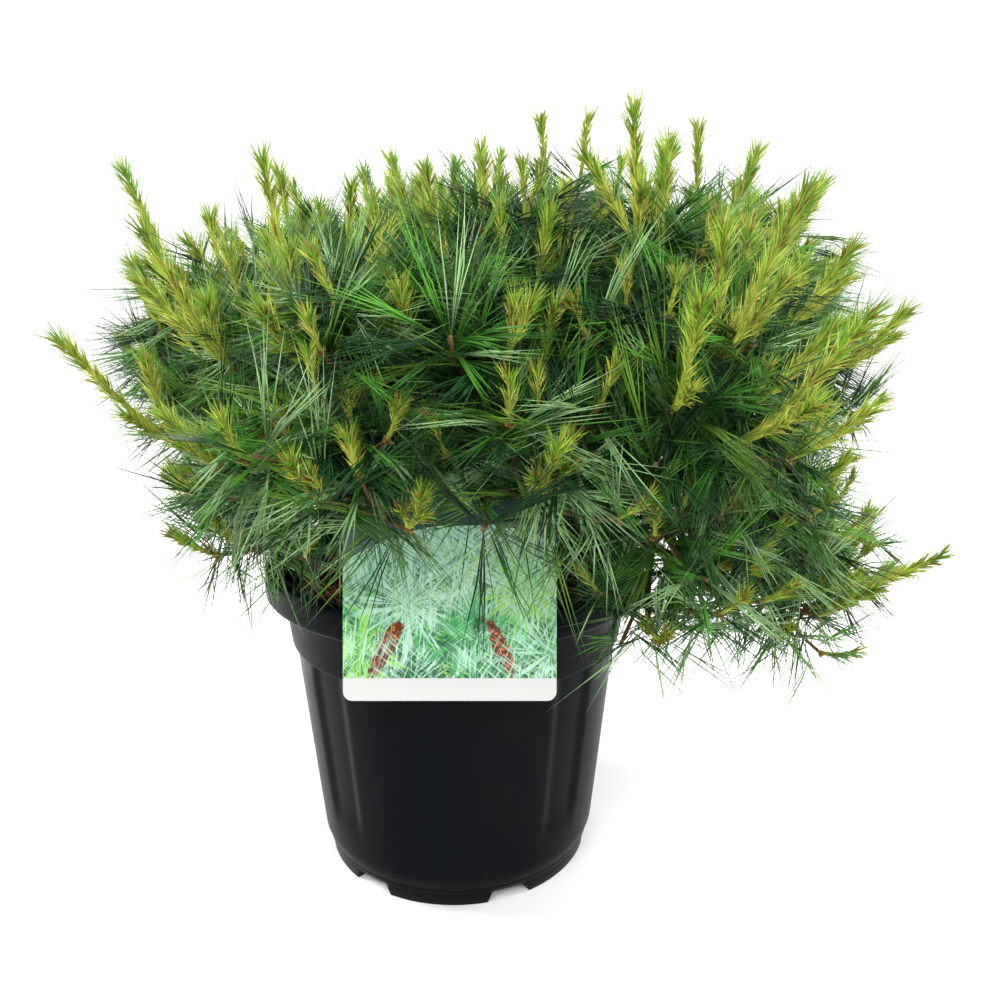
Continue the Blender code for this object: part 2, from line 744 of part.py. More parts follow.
def build_mass(place, bough, seat, arrives, space, surface):
    """One mass: its stem starts a gap off the limb's tip, and everything is fused to it."""
    rng = random.Random(SEED + 17 * place)
    lead = towards(bough.bearing, bough.rise)
    start = seat + arrives * GAP
    knee = start + arrives * STEM_LENGTH * 0.4
    stem_tip = start + (arrives + lead).normalized() * STEM_LENGTH
    end = stem_tip + lead * LEADER_LENGTH
    sides = side_twigs(space, place, (knee, stem_tip), lead, bough.under, rng)
    sprays = [end] + [side for _, side, _ in sides]
    stem = [(start, STEM_RADIUS), (knee, STEM_RADIUS), (stem_tip, TWIG_RADIUS), (end, TWIG_TIP_RADIUS)]
    candle = bough.candle * rng.uniform(0.85, 1.08)
    under = bough.under
    body = build_shoot(space, place, stem, lead, candle, sprays, under, rng, "mass_" + bough.name)
    others = bpy.data.collections.new("shoots")
    bpy.context.scene.collection.children.link(others)
    for root, side, way in sides:
        own_first = [side] + [other for other in sprays if other is not side]
        twig = [(root, TWIG_RADIUS * 0.8), (side, TWIG_TIP_RADIUS)]
        candle = bough.candle * rng.uniform(0.7, 1.0)
        build_shoot(space, place, twig, way, candle, own_first, under, rng, collection=others)
    join_in_one(body, others, surface)


def build_masses(paths, needles):
    limbs = []
    rings = trunk_path()
    for (low, low_radius), (high, high_radius) in zip(rings, rings[1:]):
        limbs.append((low, high, max(low_radius, high_radius)))
    for bough, path in zip(BOUGHS, paths):
        radii = bough_radii(bough)
        limbs += list(zip(path, path[1:], radii))
    seats = [(bough, path[-1], (path[-1] - path[-2]).normalized()) for bough, path in zip(BOUGHS, paths)]
    seats.append((TOP, TRUNK_TIP.copy(), Vector((0, 0, 1))))
    centres = [seat + towards(bough.bearing, bough.rise) * MASS_CENTRE for bough, seat, _ in seats]
    space = Space(centres, limbs)
    for place, (bough, seat, arrives) in enumerate(seats):
        build_mass(place, bough, seat, arrives, space, needles)


def main():
    for leftover in list(bpy.data.objects):
        bpy.data.objects.remove(leftover)
    bark = material("bark", (0.16, 0.10, 0.065), 0.85)
    needles = material("needles", (0.075, 0.19, 0.045), 0.5)
    paths = [bough_path(bough) for bough in BOUGHS]
    build_pot()
    build_soil()
    build_limbs(paths, bark)
    build_card(paths)
    build_masses(paths, needles)


main()
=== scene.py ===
"""Looks of the potted dwarf white pine: pot, mulch, card, bark, needles and new growth.

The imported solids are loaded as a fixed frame. The crown grows again by the rule of the
solids and is carried on to finer twigs within the same reach. Metres, +Z up, the front is
towards -Y, and a bearing is the angle from the front towards +X.
"""

import math
import random
from collections import namedtuple
from functools import lru_cache

import bpy
import numpy as np
from bpy.props import FloatProperty, FloatVectorProperty, IntProperty
from mathutils import Matrix, Vector, noise


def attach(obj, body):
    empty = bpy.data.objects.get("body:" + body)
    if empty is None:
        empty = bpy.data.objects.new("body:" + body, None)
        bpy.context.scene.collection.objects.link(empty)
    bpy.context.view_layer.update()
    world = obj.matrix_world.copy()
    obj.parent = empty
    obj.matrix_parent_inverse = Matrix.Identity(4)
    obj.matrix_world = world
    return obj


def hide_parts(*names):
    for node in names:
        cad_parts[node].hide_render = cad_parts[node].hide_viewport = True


bl_info = {
    "name": "Potted dwarf white pine",
    "version": (1, 0, 0),
    "blender": (4, 5, 0),
    "location": "View3D > Sidebar > Pine",
    "description": "Builds a potted dwarf white pine with its finishes and its studio",
    "category": "Object",
}

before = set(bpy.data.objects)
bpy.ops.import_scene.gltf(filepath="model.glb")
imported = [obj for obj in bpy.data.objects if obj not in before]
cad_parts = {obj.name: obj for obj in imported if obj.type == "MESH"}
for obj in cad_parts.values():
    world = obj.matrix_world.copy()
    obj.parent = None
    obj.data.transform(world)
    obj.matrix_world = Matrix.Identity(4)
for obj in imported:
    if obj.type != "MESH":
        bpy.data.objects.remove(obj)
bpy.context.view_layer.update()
BODY = "root"

# Gap that touching pieces keep, as in the solids, and a length too small to matter.
GAP = 0.0003
TINY = 1e-9

# The pot: a tapered wall with a collar and a rolled lip above it.
POT_HEIGHT = 0.185
POT_WALL = 0.0022
FOOT_RADIUS = 0.0800
FOOT_HEIGHT = 0.0078
FOOT_WALL = 0.0065
FLOOR_TOP = 0.0105
CHAMFER_TOP = 0.018
CHAMFER_RADIUS = 0.0840
BODY_TOP = 0.1380
BODY_TOP_RADIUS = 0.0958
COLLAR_FOOT_RADIUS = 0.0982
COLLAR_TOP = 0.1660
COLLAR_TOP_RADIUS = 0.1012
LIP_RADIUS = 0.1117
LIP_FOOT = 0.1682
LIP_SHOULDER = 0.1815
LIP_INNER_RADIUS = 0.1035
PAD_RADIUS = 0.022

# Shallow flutes run down the body from the collar and fade out above the feet. Bearings in
# a flute are counted from its start: both edges of its floor, then its end.
FLUTES = 4
FLUTE_DEPTH = 0.0019
FLUTE_FADE = (0.030, 0.052)
FLUTE_START = 34.5
FLUTE_FLOOR = (5.0, 15.0)
FLUTE_END = 20.0

# Feet, the notches between them and the drain holes.
FEET = 6
NOTCH_BEARING = 23.5
NOTCH_WIDTH = 0.020
NOTCH_SLOPE = 0.003
DRAIN_RADIUS = 0.006
DRAIN_RING = 0.052

# The filled pot's bark mulch.
SOIL_TOP = 0.1725
SOIL_BUMP = 0.0022
SOIL_CLEAR = 0.0006

# The trunk, from a flat cut on the mulch to the tip that carries the top shoots.
TRUNK_FOOT = Vector((0.000, 0.004, SOIL_TOP + GAP))
TRUNK_TIP = Vector((0.014, 0.010, 0.311))
TRUNK_FLARE = 0.0175
TRUNK_RADIUS = 0.0120
TRUNK_TIP_RADIUS = 0.0042
TRUNK_SWAY = 0.0015
TRUNK_STEPS = 6
FLARE_HEIGHT = 0.014
FLARE_MIDDLE = 0.4

# Boughs. Each leaves the trunk low, rises or arches out to its tip, and thins steadily.
BOUGH_ROOT_RADIUS = 0.0046
BOUGH_TIP_RADIUS = 0.0028
BOUGH_STEPS = 4
BOUGH_COLLAR = 0.0025
BOUGH_SWELL = 1.1
SHORT_BOUGH = 0.75
FULL_REACH = 0.15

# bearing, reach and height: where the tip lies. rise: how steeply its shoots point up.
# arch: how far the middle stands above a straight line. candle: length of its new growth.
# fork: how high it leaves the trunk. under: how low its needles may hang.
Bough = namedtuple("Bough", "name bearing reach height rise arch candle fork under")
BOUGHS = (
    Bough("left_low", -60, 0.082, 0.220, 10, 0.016, 0.040, 0.192, 0.197),
    Bough("front_left", -15, 0.127, 0.256, 8, 0.027, 0.038, 0.2375, 0.236),
    Bough("front_centre", 14, 0.127, 0.255, 12, 0.025, 0.036, 0.2205, 0.234),
    Bough("front_right_low", 48, 0.126, 0.218, -4, 0.024, 0.028, 0.189, 0.178),
    Bough("right_low", 77, 0.158, 0.190, -20, 0.030, 0.075, 0.1995, 0.146),
    Bough("right_back_low", 108, 0.152, 0.216, 4, 0.020, 0.034, 0.189, 0.150),
    Bough("back_right_low", 151, 0.140, 0.222, 8, 0.018, 0.034, 0.203, 0.157),
    Bough("back_left_low", -166, 0.136, 0.218, 6, 0.018, 0.032, 0.191, 0.149),
    Bough("left_back_low", -124, 0.118, 0.222, 8, 0.018, 0.034, 0.204, 0.170),
    Bough("right_front", 67, 0.141, 0.224, 14, 0.020, 0.036, 0.2125, 0.175),
    Bough("left", -79, 0.098, 0.259, 8, 0.012, 0.106, 0.220, 0.247),
    Bough("front", -4, 0.106, 0.290, 34, 0.008, 0.036, 0.2485, 0.256),
    Bough("front_right", 41, 0.134, 0.277, 40, 0.014, 0.095, 0.230, 0.215),
    Bough("right", 92, 0.144, 0.289, 30, 0.016, 0.054, 0.2415, 0.205),
    Bough("right_back", 124, 0.148, 0.284, 28, 0.014, 0.056, 0.218, 0.215),
    Bough("back", 166, 0.140, 0.288, 30, 0.012, 0.054, 0.231, 0.220),
    Bough("back_left", -156, 0.138, 0.280, 38, 0.012, 0.052, 0.218, 0.220),
    Bough("left_back", -122, 0.123, 0.276, 28, 0.012, 0.054, 0.234, 0.225),
    Bough("left_high", -90, 0.106, 0.284, 50, 0.006, 0.100, 0.250, 0.250),
    Bough("front_left_high", -47, 0.076, 0.277, 72, 0.004, 0.092, 0.260, 0.260),
    Bough("front_high", 27, 0.068, 0.300, 58, 0.004, 0.038, 0.266, 0.270),
    Bough("right_front_high", 64, 0.112, 0.302, 58, 0.004, 0.065, 0.2565, 0.260),
    Bough("right_high", 100, 0.146, 0.311, 40, 0.008, 0.074, 0.274, 0.250),
    Bough("back_right_high", 136, 0.106, 0.323, 58, 0.004, 0.062, 0.2505, 0.270),
    Bough("back_left_high", -158, 0.084, 0.310, 68, 0.004, 0.054, 0.2635, 0.270),
    Bough("left_back_high", -100, 0.070, 0.306, 74, 0.004, 0.050, 0.276, 0.270),
)
TOP = Bough("top", 40, 0.0, TRUNK_TIP.z, 88, 0.0, 0.058, None, 0.300)
CARRIERS = (*BOUGHS, TOP)

# Masses: a stem, forking twigs, and on each twig a spray of needles under a candle. Pairs
# such as SIDE_STRETCH are the limits of a random draw, spreads and turns are in degrees, and
# FOLLOW and LIFT say how far a twig turns back to the way it grew from and up.
STEM_LENGTH = 0.014
STEM_RADIUS = 0.0026
STEM_KNEE = 0.4
TWIG_RADIUS = 0.0022
TWIG_TIP_RADIUS = 0.0013
LEADER_LENGTH = 0.012
LEADER_CANDLE = (0.85, 1.08)
SIDE_TWIGS = 3
SIDE_LENGTH = 0.037
SIDE_STRETCH = (0.85, 1.1)
SIDE_CANDLE = (0.7, 1.0)
SIDE_ROOTS = (0.4, 0.5)
SIDE_FOLLOW = 0.4
SIDE_SPREAD = 62
SIDE_SPREAD_LOOSE = 8
SIDE_TURN_LOOSE = 14
SIDE_ROOM = 1.6
SIDE_CHECK_FROM = 0.3
SIDE_CHECK_MORE = 0.001
SIDE_BEND = 0.002
SIDE_TRIES = [(swing, share) for share in (1.0, 0.8) for swing in (0, 25, -25, 50, -50)]
SPRAY_APART = 0.034
SPRAY_ABOVE = 0.010
TWIG_LIFT = 0.35
MASS_CENTRE = 0.030
MASS_REACH = 0.084
NEEDLE_LENGTH = 0.067
SPRAY_CORE_RADIUS = 0.0034
SPRAY_CORE_LENGTH = 0.015
SPRAY_STEP = 0.004
CANDLE_NECK = 0.006
CANDLE_LIFT = 0.9
CANDLE_TRIES = (1.0, 0.75, 0.5, 0.0)
LEADER_RADII = (STEM_RADIUS, STEM_RADIUS, TWIG_RADIUS, TWIG_TIP_RADIUS * 1.2)
SIDE_RADII = (TWIG_RADIUS * 0.9, TWIG_RADIUS * 0.7, TWIG_TIP_RADIUS * 1.1)
SPACE_MARGIN = 0.0008
LIMB_MARGIN = 0.0012
POT_MARGIN = 0.002
SEED = 31
SEED_STEP = 17

# The picture card: it leans on the lip and hangs by a tongue on the front centre bough.
CARD_WIDTH = 0.1025
CARD_MIDDLE = 0.0022
CARD_FOOT = 0.1475
CARD_TOP = 0.2500
CARD_SLOPE = 0.25
CARD_THICKNESS = 0.0006
CARD_CLEAR = 0.004
TONGUE_CLEAR = 0.034
CARD_CORNER = 0.0045
TONGUE_HALF_WIDTH = 0.0090
TONGUE_FOOT_HALF_WIDTH = 0.0200
TONGUE_SLIT = 0.0012
CARD_BOUGH = "front_centre"

# The photograph's camera: its place, how far it looks down, and its lens on a 36 mm sensor.
CAMERA_PLACE = (0.0263, -0.5194, 0.3499)
CAMERA_DOWN = 14.48
CAMERA_LENS = 32.76
CAMERA_SENSOR = 36.0
CAMERA_NEAR = 0.02


def screen(red, green, blue):
    """A screen colour, each part 0 to 255, as linear light."""
    parts = [part / 255 for part in (red, green, blue)]
    return tuple(part / 12.92 if part <= 0.04045 else ((part + 0.055) / 1.055) ** 2.4 for part in parts)


def toned(tint, amount):
    """A darker or lighter shade of a colour."""
    return tuple(min(1.0, part * amount) for part in tint)


def colour(name, description, default):
    return FloatVectorProperty(
        name=name, description=description, subtype="COLOR", size=3, min=0.0, max=1.0, default=default
    )


def fraction(name, description, default):
    return FloatProperty(
        name=name, description=description, subtype="FACTOR", min=0.0, max=1.0, default=default
    )


def length(name, description, default):
    return FloatProperty(
        name=name,
        description=description,
        subtype="DISTANCE",
        unit="LENGTH",
        min=0.0,
        precision=4,
        default=default,
    )


def power(name, description, default):
    return FloatProperty(name=name, description=description, unit="POWER", min=0.0, default=default)


def count(name, description, default):
    return IntProperty(name=name, description=description, min=0, default=default)


class PotLooks(bpy.types.PropertyGroup):
    plastic: colour("Plastic", "Colour of the moulded plastic", screen(7, 11, 14))
    dust: colour("Dust", "Colour of the dust and scuffs on the plastic", screen(46, 44, 40))
    roughness: fraction("Roughness", "How matt the clean plastic is", 0.27)
    grain: length("Grain", "Height of the moulded grain", 0.00005)


class MulchLooks(bpy.types.PropertyGroup):
    chips: count("Chips", "How many bark chips lie on the root ball", 1700)
    chip_length: length("Chip length", "Length of the longest chip", 0.017)
    dark: colour("Dark chips", "Colour of the wet chips", screen(64, 36, 26))
    red: colour("Red chips", "Colour of the reddish chips", screen(132, 66, 40))
    pale: colour("Pale chips", "Colour of the dry chips", screen(170, 112, 76))


class BarkLooks(bpy.types.PropertyGroup):
    relief: length("Relief", "How far the bark stands up and sinks in", 0.0007)
    old: colour("Old bark", "Colour of the trunk's bark", screen(74, 60, 48))
    crack: colour("Cracks", "Colour down in the cracks", screen(34, 25, 20))
    young: colour("Young bark", "Colour of the twigs", screen(112, 84, 52))


class NeedleLooks(bpy.types.PropertyGroup):
    per_spray: count("Bundles", "Bundles of needles on a main spray", 44)
    per_bundle: count("Needles in a bundle", "Needles that leave one point", 7)
    width: length("Width", "Width of one needle where it is thickest", 0.00084)
    deep: colour("Deep green", "Colour of the oldest needles", screen(13, 44, 12))
    shade: colour("Shade green", "Colour of the bluish needles", screen(24, 68, 28))
    green: colour("Green", "Colour of most needles", screen(46, 96, 27))
    olive: colour("Olive green", "Colour of the yellower needles", screen(82, 120, 33))
    fresh: colour("Fresh green", "Colour of the brightest needles", screen(72, 136, 38))
    pale: colour("Pale green", "Colour of the needles that show their pale side", screen(128, 165, 108))


class CandleLooks(bpy.types.PropertyGroup):
    per_metre: count("Needles a metre", "Short needles on a metre of candle", 2400)
    needle: length("Needle", "Length of a candle's needles", 0.0195)
    stem: colour("Stem", "Colour of the candle's stem", screen(138, 150, 56))
    gold: colour("Gold needles", "Colour of the needles low on a candle", screen(170, 173, 72))
    lime: colour("Lime needles", "Colour of the needles half way up", screen(142, 158, 52))
    bright: colour("Bright needles", "Colour of the needles at the tip", screen(94, 134, 28))
    scale: colour("Scales", "Colour of the papery scales", screen(126, 102, 44))


class CardLooks(bpy.types.PropertyGroup):
    paper: colour("Paper", "Colour of the strip and the back", screen(194, 195, 193))
    slate: colour("Slate", "Colour of the band beside the picture", screen(98, 118, 128))
    teal: colour("Teal", "Colour of the band further up", screen(26, 52, 54))
    mint: colour("Mint", "Palest colour of the picture", screen(180, 222, 198))
    leaf: colour("Leaf", "Middle green of the picture", screen(72, 162, 92))
    shadow: colour("Shadow", "Darkest green of the picture", screen(12, 70, 40))
    sprout: colour("Sprout", "Yellow-green of the picture", screen(146, 204, 84))
    cone: colour("Cone", "Colour of the picture's cones", screen(204, 104, 50))


class StudioLooks(bpy.types.PropertyGroup):
    floor: colour("Floor", "Colour of the floor and backdrop", (0.90, 0.90, 0.89))
    key: power("Key", "Power of the main light", 10.0)
    fill: power("Fill", "Power of the fill light", 8.0)
    edge: power("Edge", "Power of the side lights", 16.0)
    top: power("Top", "Power of the light overhead", 14.0)
    ground: power("Ground", "Power of the floor's own light", 22.0)
    wall: power("Wall", "Power of the backdrop's light", 108.0)
    air: FloatProperty(
        name="Air", description="Strength of the light from all round", min=0.0, default=0.09
    )


# Finishes


class Wire:
    """A socket in an expression. Arithmetic on it adds the Math nodes that work it out."""

    def __init__(self, finish, socket):
        self.finish = finish
        self.socket = socket

    def __add__(self, other):
        return self.finish.maths("ADD", self, other)

    def __radd__(self, other):
        return self.finish.maths("ADD", other, self)

    def __sub__(self, other):
        return self.finish.maths("SUBTRACT", self, other)

    def __rsub__(self, other):
        return self.finish.maths("SUBTRACT", other, self)

    def __mul__(self, other):
        return self.finish.maths("MULTIPLY", self, other)

    def __rmul__(self, other):
        return self.finish.maths("MULTIPLY", other, self)

    def __truediv__(self, other):
        return self.finish.maths("DIVIDE", self, other)

    def __rtruediv__(self, other):
        return self.finish.maths("DIVIDE", other, self)


class Finish:
    """One material. Its nodes come from node(), and expressions on wires do the sums."""

    def __init__(self, name, constants):
        self.material = bpy.data.materials.new(name)
        self.material.use_nodes = True
        self.tree = self.material.node_tree
        self.shader = self.tree.nodes["Principled BSDF"]
        for socket, value in constants.items():
            self.feed(socket, value)

    def connect(self, socket, value):
        if isinstance(value, Wire):
            self.tree.links.new(value.socket, socket)
        elif socket.type == "RGBA":
            socket.default_value = (*value, 1.0)
        else:
            socket.default_value = value

    def feed(self, socket, value):
        """Sets or drives one of the shader's own sockets."""
        self.connect(self.shader.inputs[socket], value)

    def node(self, kind, settings=None, sockets=None, output=0):
        """Adds any node: its type, its settings, then the values or wires of its sockets."""
        made = self.tree.nodes.new(kind)
        for name, value in (settings or {}).items():
            setattr(made, name, value)
        for socket, value in (sockets or {}).items():
            self.connect(made.inputs[socket], value)
        return Wire(self, made.outputs[output])

    def maths(self, operation, *values):
        return self.node("ShaderNodeMath", {"operation": operation}, dict(enumerate(values)))

    def mix(self, low, high, amount):
        """A colour between two colours."""
        return self.node("ShaderNodeMix", {"data_type": "RGBA"}, {0: amount, 6: low, 7: high}, 2)

    def step(self, value, low, high):
        """0 below low, 1 above high and smooth between them."""
        settings = {"interpolation_type": "SMOOTHSTEP"}
        return self.node("ShaderNodeMapRange", settings, {0: value, 1: low, 2: high})

    def place(self, kind="Object"):
        return self.node("ShaderNodeTexCoord", output=kind)

    def parts(self, vector):
        return [self.node("ShaderNodeSeparateXYZ", None, {0: vector}, axis) for axis in "XYZ"]

    def cloudy(self, place, scale, detail):
        """Noise from 0 to 1 with this many spots to one unit of the place."""
        return self.node("ShaderNodeTexNoise", None, {"Vector": place, "Scale": scale, "Detail": detail})

    def spots(self, scale, detail=3.0, place=None, stretch=(1.0, 1.0, 1.0)):
        """Cloudy noise, stretched or pressed together along each axis."""
        place = place or self.place()
        spread = self.node("ShaderNodeVectorMath", {"operation": "MULTIPLY"}, {0: place, 1: stretch})
        return self.cloudy(spread, scale, detail)

    def bump(self, height, distance, strength=1.0):
        sockets = {"Height": height, "Distance": distance, "Strength": strength}
        self.feed("Normal", self.node("ShaderNodeBump", None, sockets))


# Meshes


def rows(points):
    """Points as the rows of an array."""
    return np.array([tuple(point) for point in points])


def at_turn(across, over, turn):
    """The way at this turn, in radians, from one way towards another that is square to it."""
    return across * math.cos(turn) + over * math.sin(turn)


def in_scene(name, data):
    """A new object of this data in the scene."""
    made = bpy.data.objects.new(name, data)
    bpy.context.scene.collection.objects.link(made)
    return made


class Heap:
    """Many small shapes gathered as arrays and made into one piece."""

    def __init__(self):
        self.points = []
        self.quads = []
        self.triangles = []
        self.filled = 0

    def add(self, points, quads=(), triangles=()):
        for faces, kept, corners in ((quads, self.quads, 4), (triangles, self.triangles, 3)):
            if len(faces):
                kept.append(np.asarray(faces, int).reshape(-1, corners) + self.filled)
        points = np.asarray(points, float).reshape(-1, 3)
        self.points.append(points)
        self.filled += len(points)

    def piece(self, name, finish, angle=None):
        """Makes the piece. Faces are smooth, with edges sharper than angle kept, if given."""
        quads = np.concatenate(self.quads) if self.quads else np.zeros((0, 4), int)
        triangles = np.concatenate(self.triangles) if self.triangles else np.zeros((0, 3), int)
        points = np.concatenate(self.points)
        corners = np.concatenate([quads.ravel(), triangles.ravel()])
        sizes = np.concatenate([np.full(len(quads), 4), np.full(len(triangles), 3)])
        mesh = bpy.data.meshes.new(name)
        mesh.vertices.add(len(points))
        mesh.vertices.foreach_set("co", points.astype(np.float32).ravel())
        mesh.loops.add(len(corners))
        mesh.loops.foreach_set("vertex_index", corners.astype(np.int32))
        mesh.polygons.add(len(sizes))
        starts = np.concatenate([[0], np.cumsum(sizes)[:-1]])
        mesh.polygons.foreach_set("loop_start", starts.astype(np.int32))
        mesh.update(calc_edges=True)
        return piece_of(mesh, finish, angle)


def piece_of(mesh, finish, angle=None):
    """An object of this mesh that rides with the part."""
    mesh.shade_smooth()
    if angle is not None:
        mesh.set_sharp_from_angle(angle=math.radians(angle))
    mesh.materials.append(finish.material)
    made = in_scene(mesh.name, mesh)
    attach(made, BODY)
    return made


def ring_quads(rings, sides):
    """Quads between rings of points that follow each other."""
    low = np.arange(rings - 1)[:, None] * sides
    here = np.arange(sides)
    there = (here + 1) % sides
    corners = [low + here, low + there, low + sides + there, low + sides + here]
    return np.stack(corners, axis=-1).reshape(-1, 4)


def cap_triangles(rings, sides):
    """Triangles from a tube's two ends to two middle points that follow its rings."""
    here = np.arange(sides)
    there = (here + 1) % sides
    last = (rings - 1) * sides
    low = np.stack([there, here, np.full(sides, rings * sides)], axis=-1)
    high = np.stack([last + here, last + there, np.full(sides, rings * sides + 1)], axis=-1)
    return np.concatenate([low, high])


def unit(vectors):
    return vectors / np.linalg.norm(vectors, axis=-1, keepdims=True)


def tube_arrays(path, radii, sides):
    """Points and quads of an open tube along a path."""
    rings = []
    for centre, radius, (_, across, over) in zip(path, radii, frames_along(path)):
        for i in range(sides):
            rings.append(centre + at_turn(across, over, math.tau * i / sides) * radius)
    return np.array(rings), ring_quads(len(path), sides)


def plain_object(name, points, faces):
    mesh = bpy.data.meshes.new(name)
    mesh.from_pydata([tuple(point) for point in points], [], faces)
    return in_scene(name, mesh)


def kept_mesh(blank, name):
    """The mesh of a blank under a new name. The blank itself is removed."""
    mesh = blank.data
    bpy.data.objects.remove(blank)
    mesh.name = name
    return mesh


def closed_faces(rings, sides):
    faces = [tuple(reversed(range(sides)))]
    faces += [tuple(quad) for quad in ring_quads(rings, sides).tolist()]
    faces.append(tuple((rings - 1) * sides + i for i in range(sides)))
    return faces


def cut_away(body, cutter):
    """Cuts one object's shape out of another and removes the cutter."""
    difference = body.modifiers.new("cut", "BOOLEAN")
    difference.operation = "DIFFERENCE"
    difference.object = cutter
    difference.solver = "EXACT"
    graph = bpy.context.evaluated_depsgraph_get()
    body.data = bpy.data.meshes.new_from_object(body.evaluated_get(graph))
    body.modifiers.clear()
    bpy.data.objects.remove(cutter)


# The source's rule, written again


def towards(bearing, rise=0.0):
    """The unit vector at this bearing, tilted up by rise, both in degrees."""
    turn, tilt = math.radians(bearing), math.radians(rise)
    flat = math.cos(tilt)
    return Vector((flat * math.sin(turn), -flat * math.cos(turn), math.sin(tilt)))


def blend(a, b, share):
    return a + (b - a) * share


def eased(share):
    """0 to 1 with a gentle start and end."""
    return share * share * (3 - 2 * share)


def path_length(path):
    return sum((b - a).length for a, b in zip(path, path[1:]))


def lifted(way, lift):
    """The unit vector of a way turned up a little."""
    return (way + Vector((0, 0, lift))).normalized()


def swung(way, spread, turn):
    """A way that leans off another by spread degrees, towards this turn round it."""
    across = way.orthogonal().normalized()
    aside = at_turn(across, way.cross(across), turn)
    return at_turn(way, aside, math.radians(spread))


def frames_along(path):
    """A direction and two cross directions at each point, turning as little as they can."""
    last = len(path) - 1
    across = None
    frames = []
    for i in range(last + 1):
        ahead = (path[min(i + 1, last)] - path[max(i - 1, 0)]).normalized()
        if across is None:
            across = ahead.orthogonal().normalized()
        across = (across - ahead * across.dot(ahead)).normalized()
        frames.append((ahead, across, ahead.cross(across)))
    return frames


def trunk_at(height):
    """Middle and radius of the trunk at this height."""
    share = (height - TRUNK_FOOT.z) / (TRUNK_TIP.z - TRUNK_FOOT.z)
    middle = blend(TRUNK_FOOT, TRUNK_TIP, share)
    sway = math.sin(share * math.tau) * TRUNK_SWAY
    middle += Vector((sway, -sway, 0.0))
    radius = blend(TRUNK_RADIUS, TRUNK_TIP_RADIUS, share)
    above_foot = (height - TRUNK_FOOT.z) / FLARE_HEIGHT
    radius += (TRUNK_FLARE - TRUNK_RADIUS) * max(0.0, 1 - above_foot) ** 2
    return middle, radius


def trunk_rings():
    low, high = TRUNK_FOOT.z, TRUNK_TIP.z
    heights = [low, low + FLARE_HEIGHT * FLARE_MIDDLE]
    heights += [blend(low + FLARE_HEIGHT, high, i / TRUNK_STEPS) for i in range(TRUNK_STEPS + 1)]
    return [trunk_at(height) for height in heights]


def bough_path(bough):
    """Square off the trunk's side behind a gap, then out to the tip in one arched line."""
    middle, _ = trunk_at(bough.fork)
    out = towards(bough.bearing)
    side = 0.0
    for height in (bough.fork - BOUGH_ROOT_RADIUS, bough.fork + BOUGH_ROOT_RADIUS):
        level, radius = trunk_at(height)
        side = max(side, (level - middle).dot(out) + radius)
    root = middle + out * (side + GAP)
    root.z = bough.fork
    collar = root + out * BOUGH_COLLAR
    tip = out * bough.reach
    tip.z = bough.height
    path = [root]
    for step in range(BOUGH_STEPS + 1):
        share = step / BOUGH_STEPS
        point = blend(collar, tip, share)
        point.z += bough.arch * 4 * share * (1 - share)
        path.append(point)
    return path


def bough_radii(bough):
    root = BOUGH_ROOT_RADIUS * blend(SHORT_BOUGH, 1.0, min(1.0, bough.reach / FULL_REACH))
    radii = [blend(root, BOUGH_TIP_RADIUS, i / BOUGH_STEPS) for i in range(BOUGH_STEPS + 1)]
    return [root * BOUGH_SWELL, *radii]


def body_radius(height):
    share = (height - CHAMFER_TOP) / (BODY_TOP - CHAMFER_TOP)
    return blend(CHAMFER_RADIUS, BODY_TOP_RADIUS, share)


def card_offset():
    """How far forward the card's back lies at height 0, so that it clears the lip."""
    lip = (
        (LIP_RADIUS - 0.0008, LIP_FOOT),
        (LIP_RADIUS, LIP_FOOT + 0.0030),
        (LIP_RADIUS - 0.0003, LIP_SHOULDER),
        (LIP_RADIUS - 0.0030, POT_HEIGHT),
        (LIP_INNER_RADIUS, POT_HEIGHT),
    )
    return max(radius + CARD_SLOPE * height for radius, height in lip) + GAP * 1.5


def card_back(height):
    return -(card_offset() - CARD_SLOPE * height)


def card_hole():
    """Where the carrying bough passes through the card's plane, its radius and its way there."""
    bough = next(b for b in BOUGHS if b.name == CARD_BOUGH)
    path, radii = bough_path(bough), bough_radii(bough)
    for i in range(len(path) - 1):
        ends = [point.y - card_back(point.z) for point in path[i : i + 2]]
        if ends[0] > 0 >= ends[1]:
            share = ends[0] / (ends[0] - ends[1])
            ahead = (path[i + 1] - path[i]).normalized()
            return blend(path[i], path[i + 1], share), blend(radii[i], radii[i + 1], share), ahead
    raise ValueError("the carrying bough doesn't reach the card")


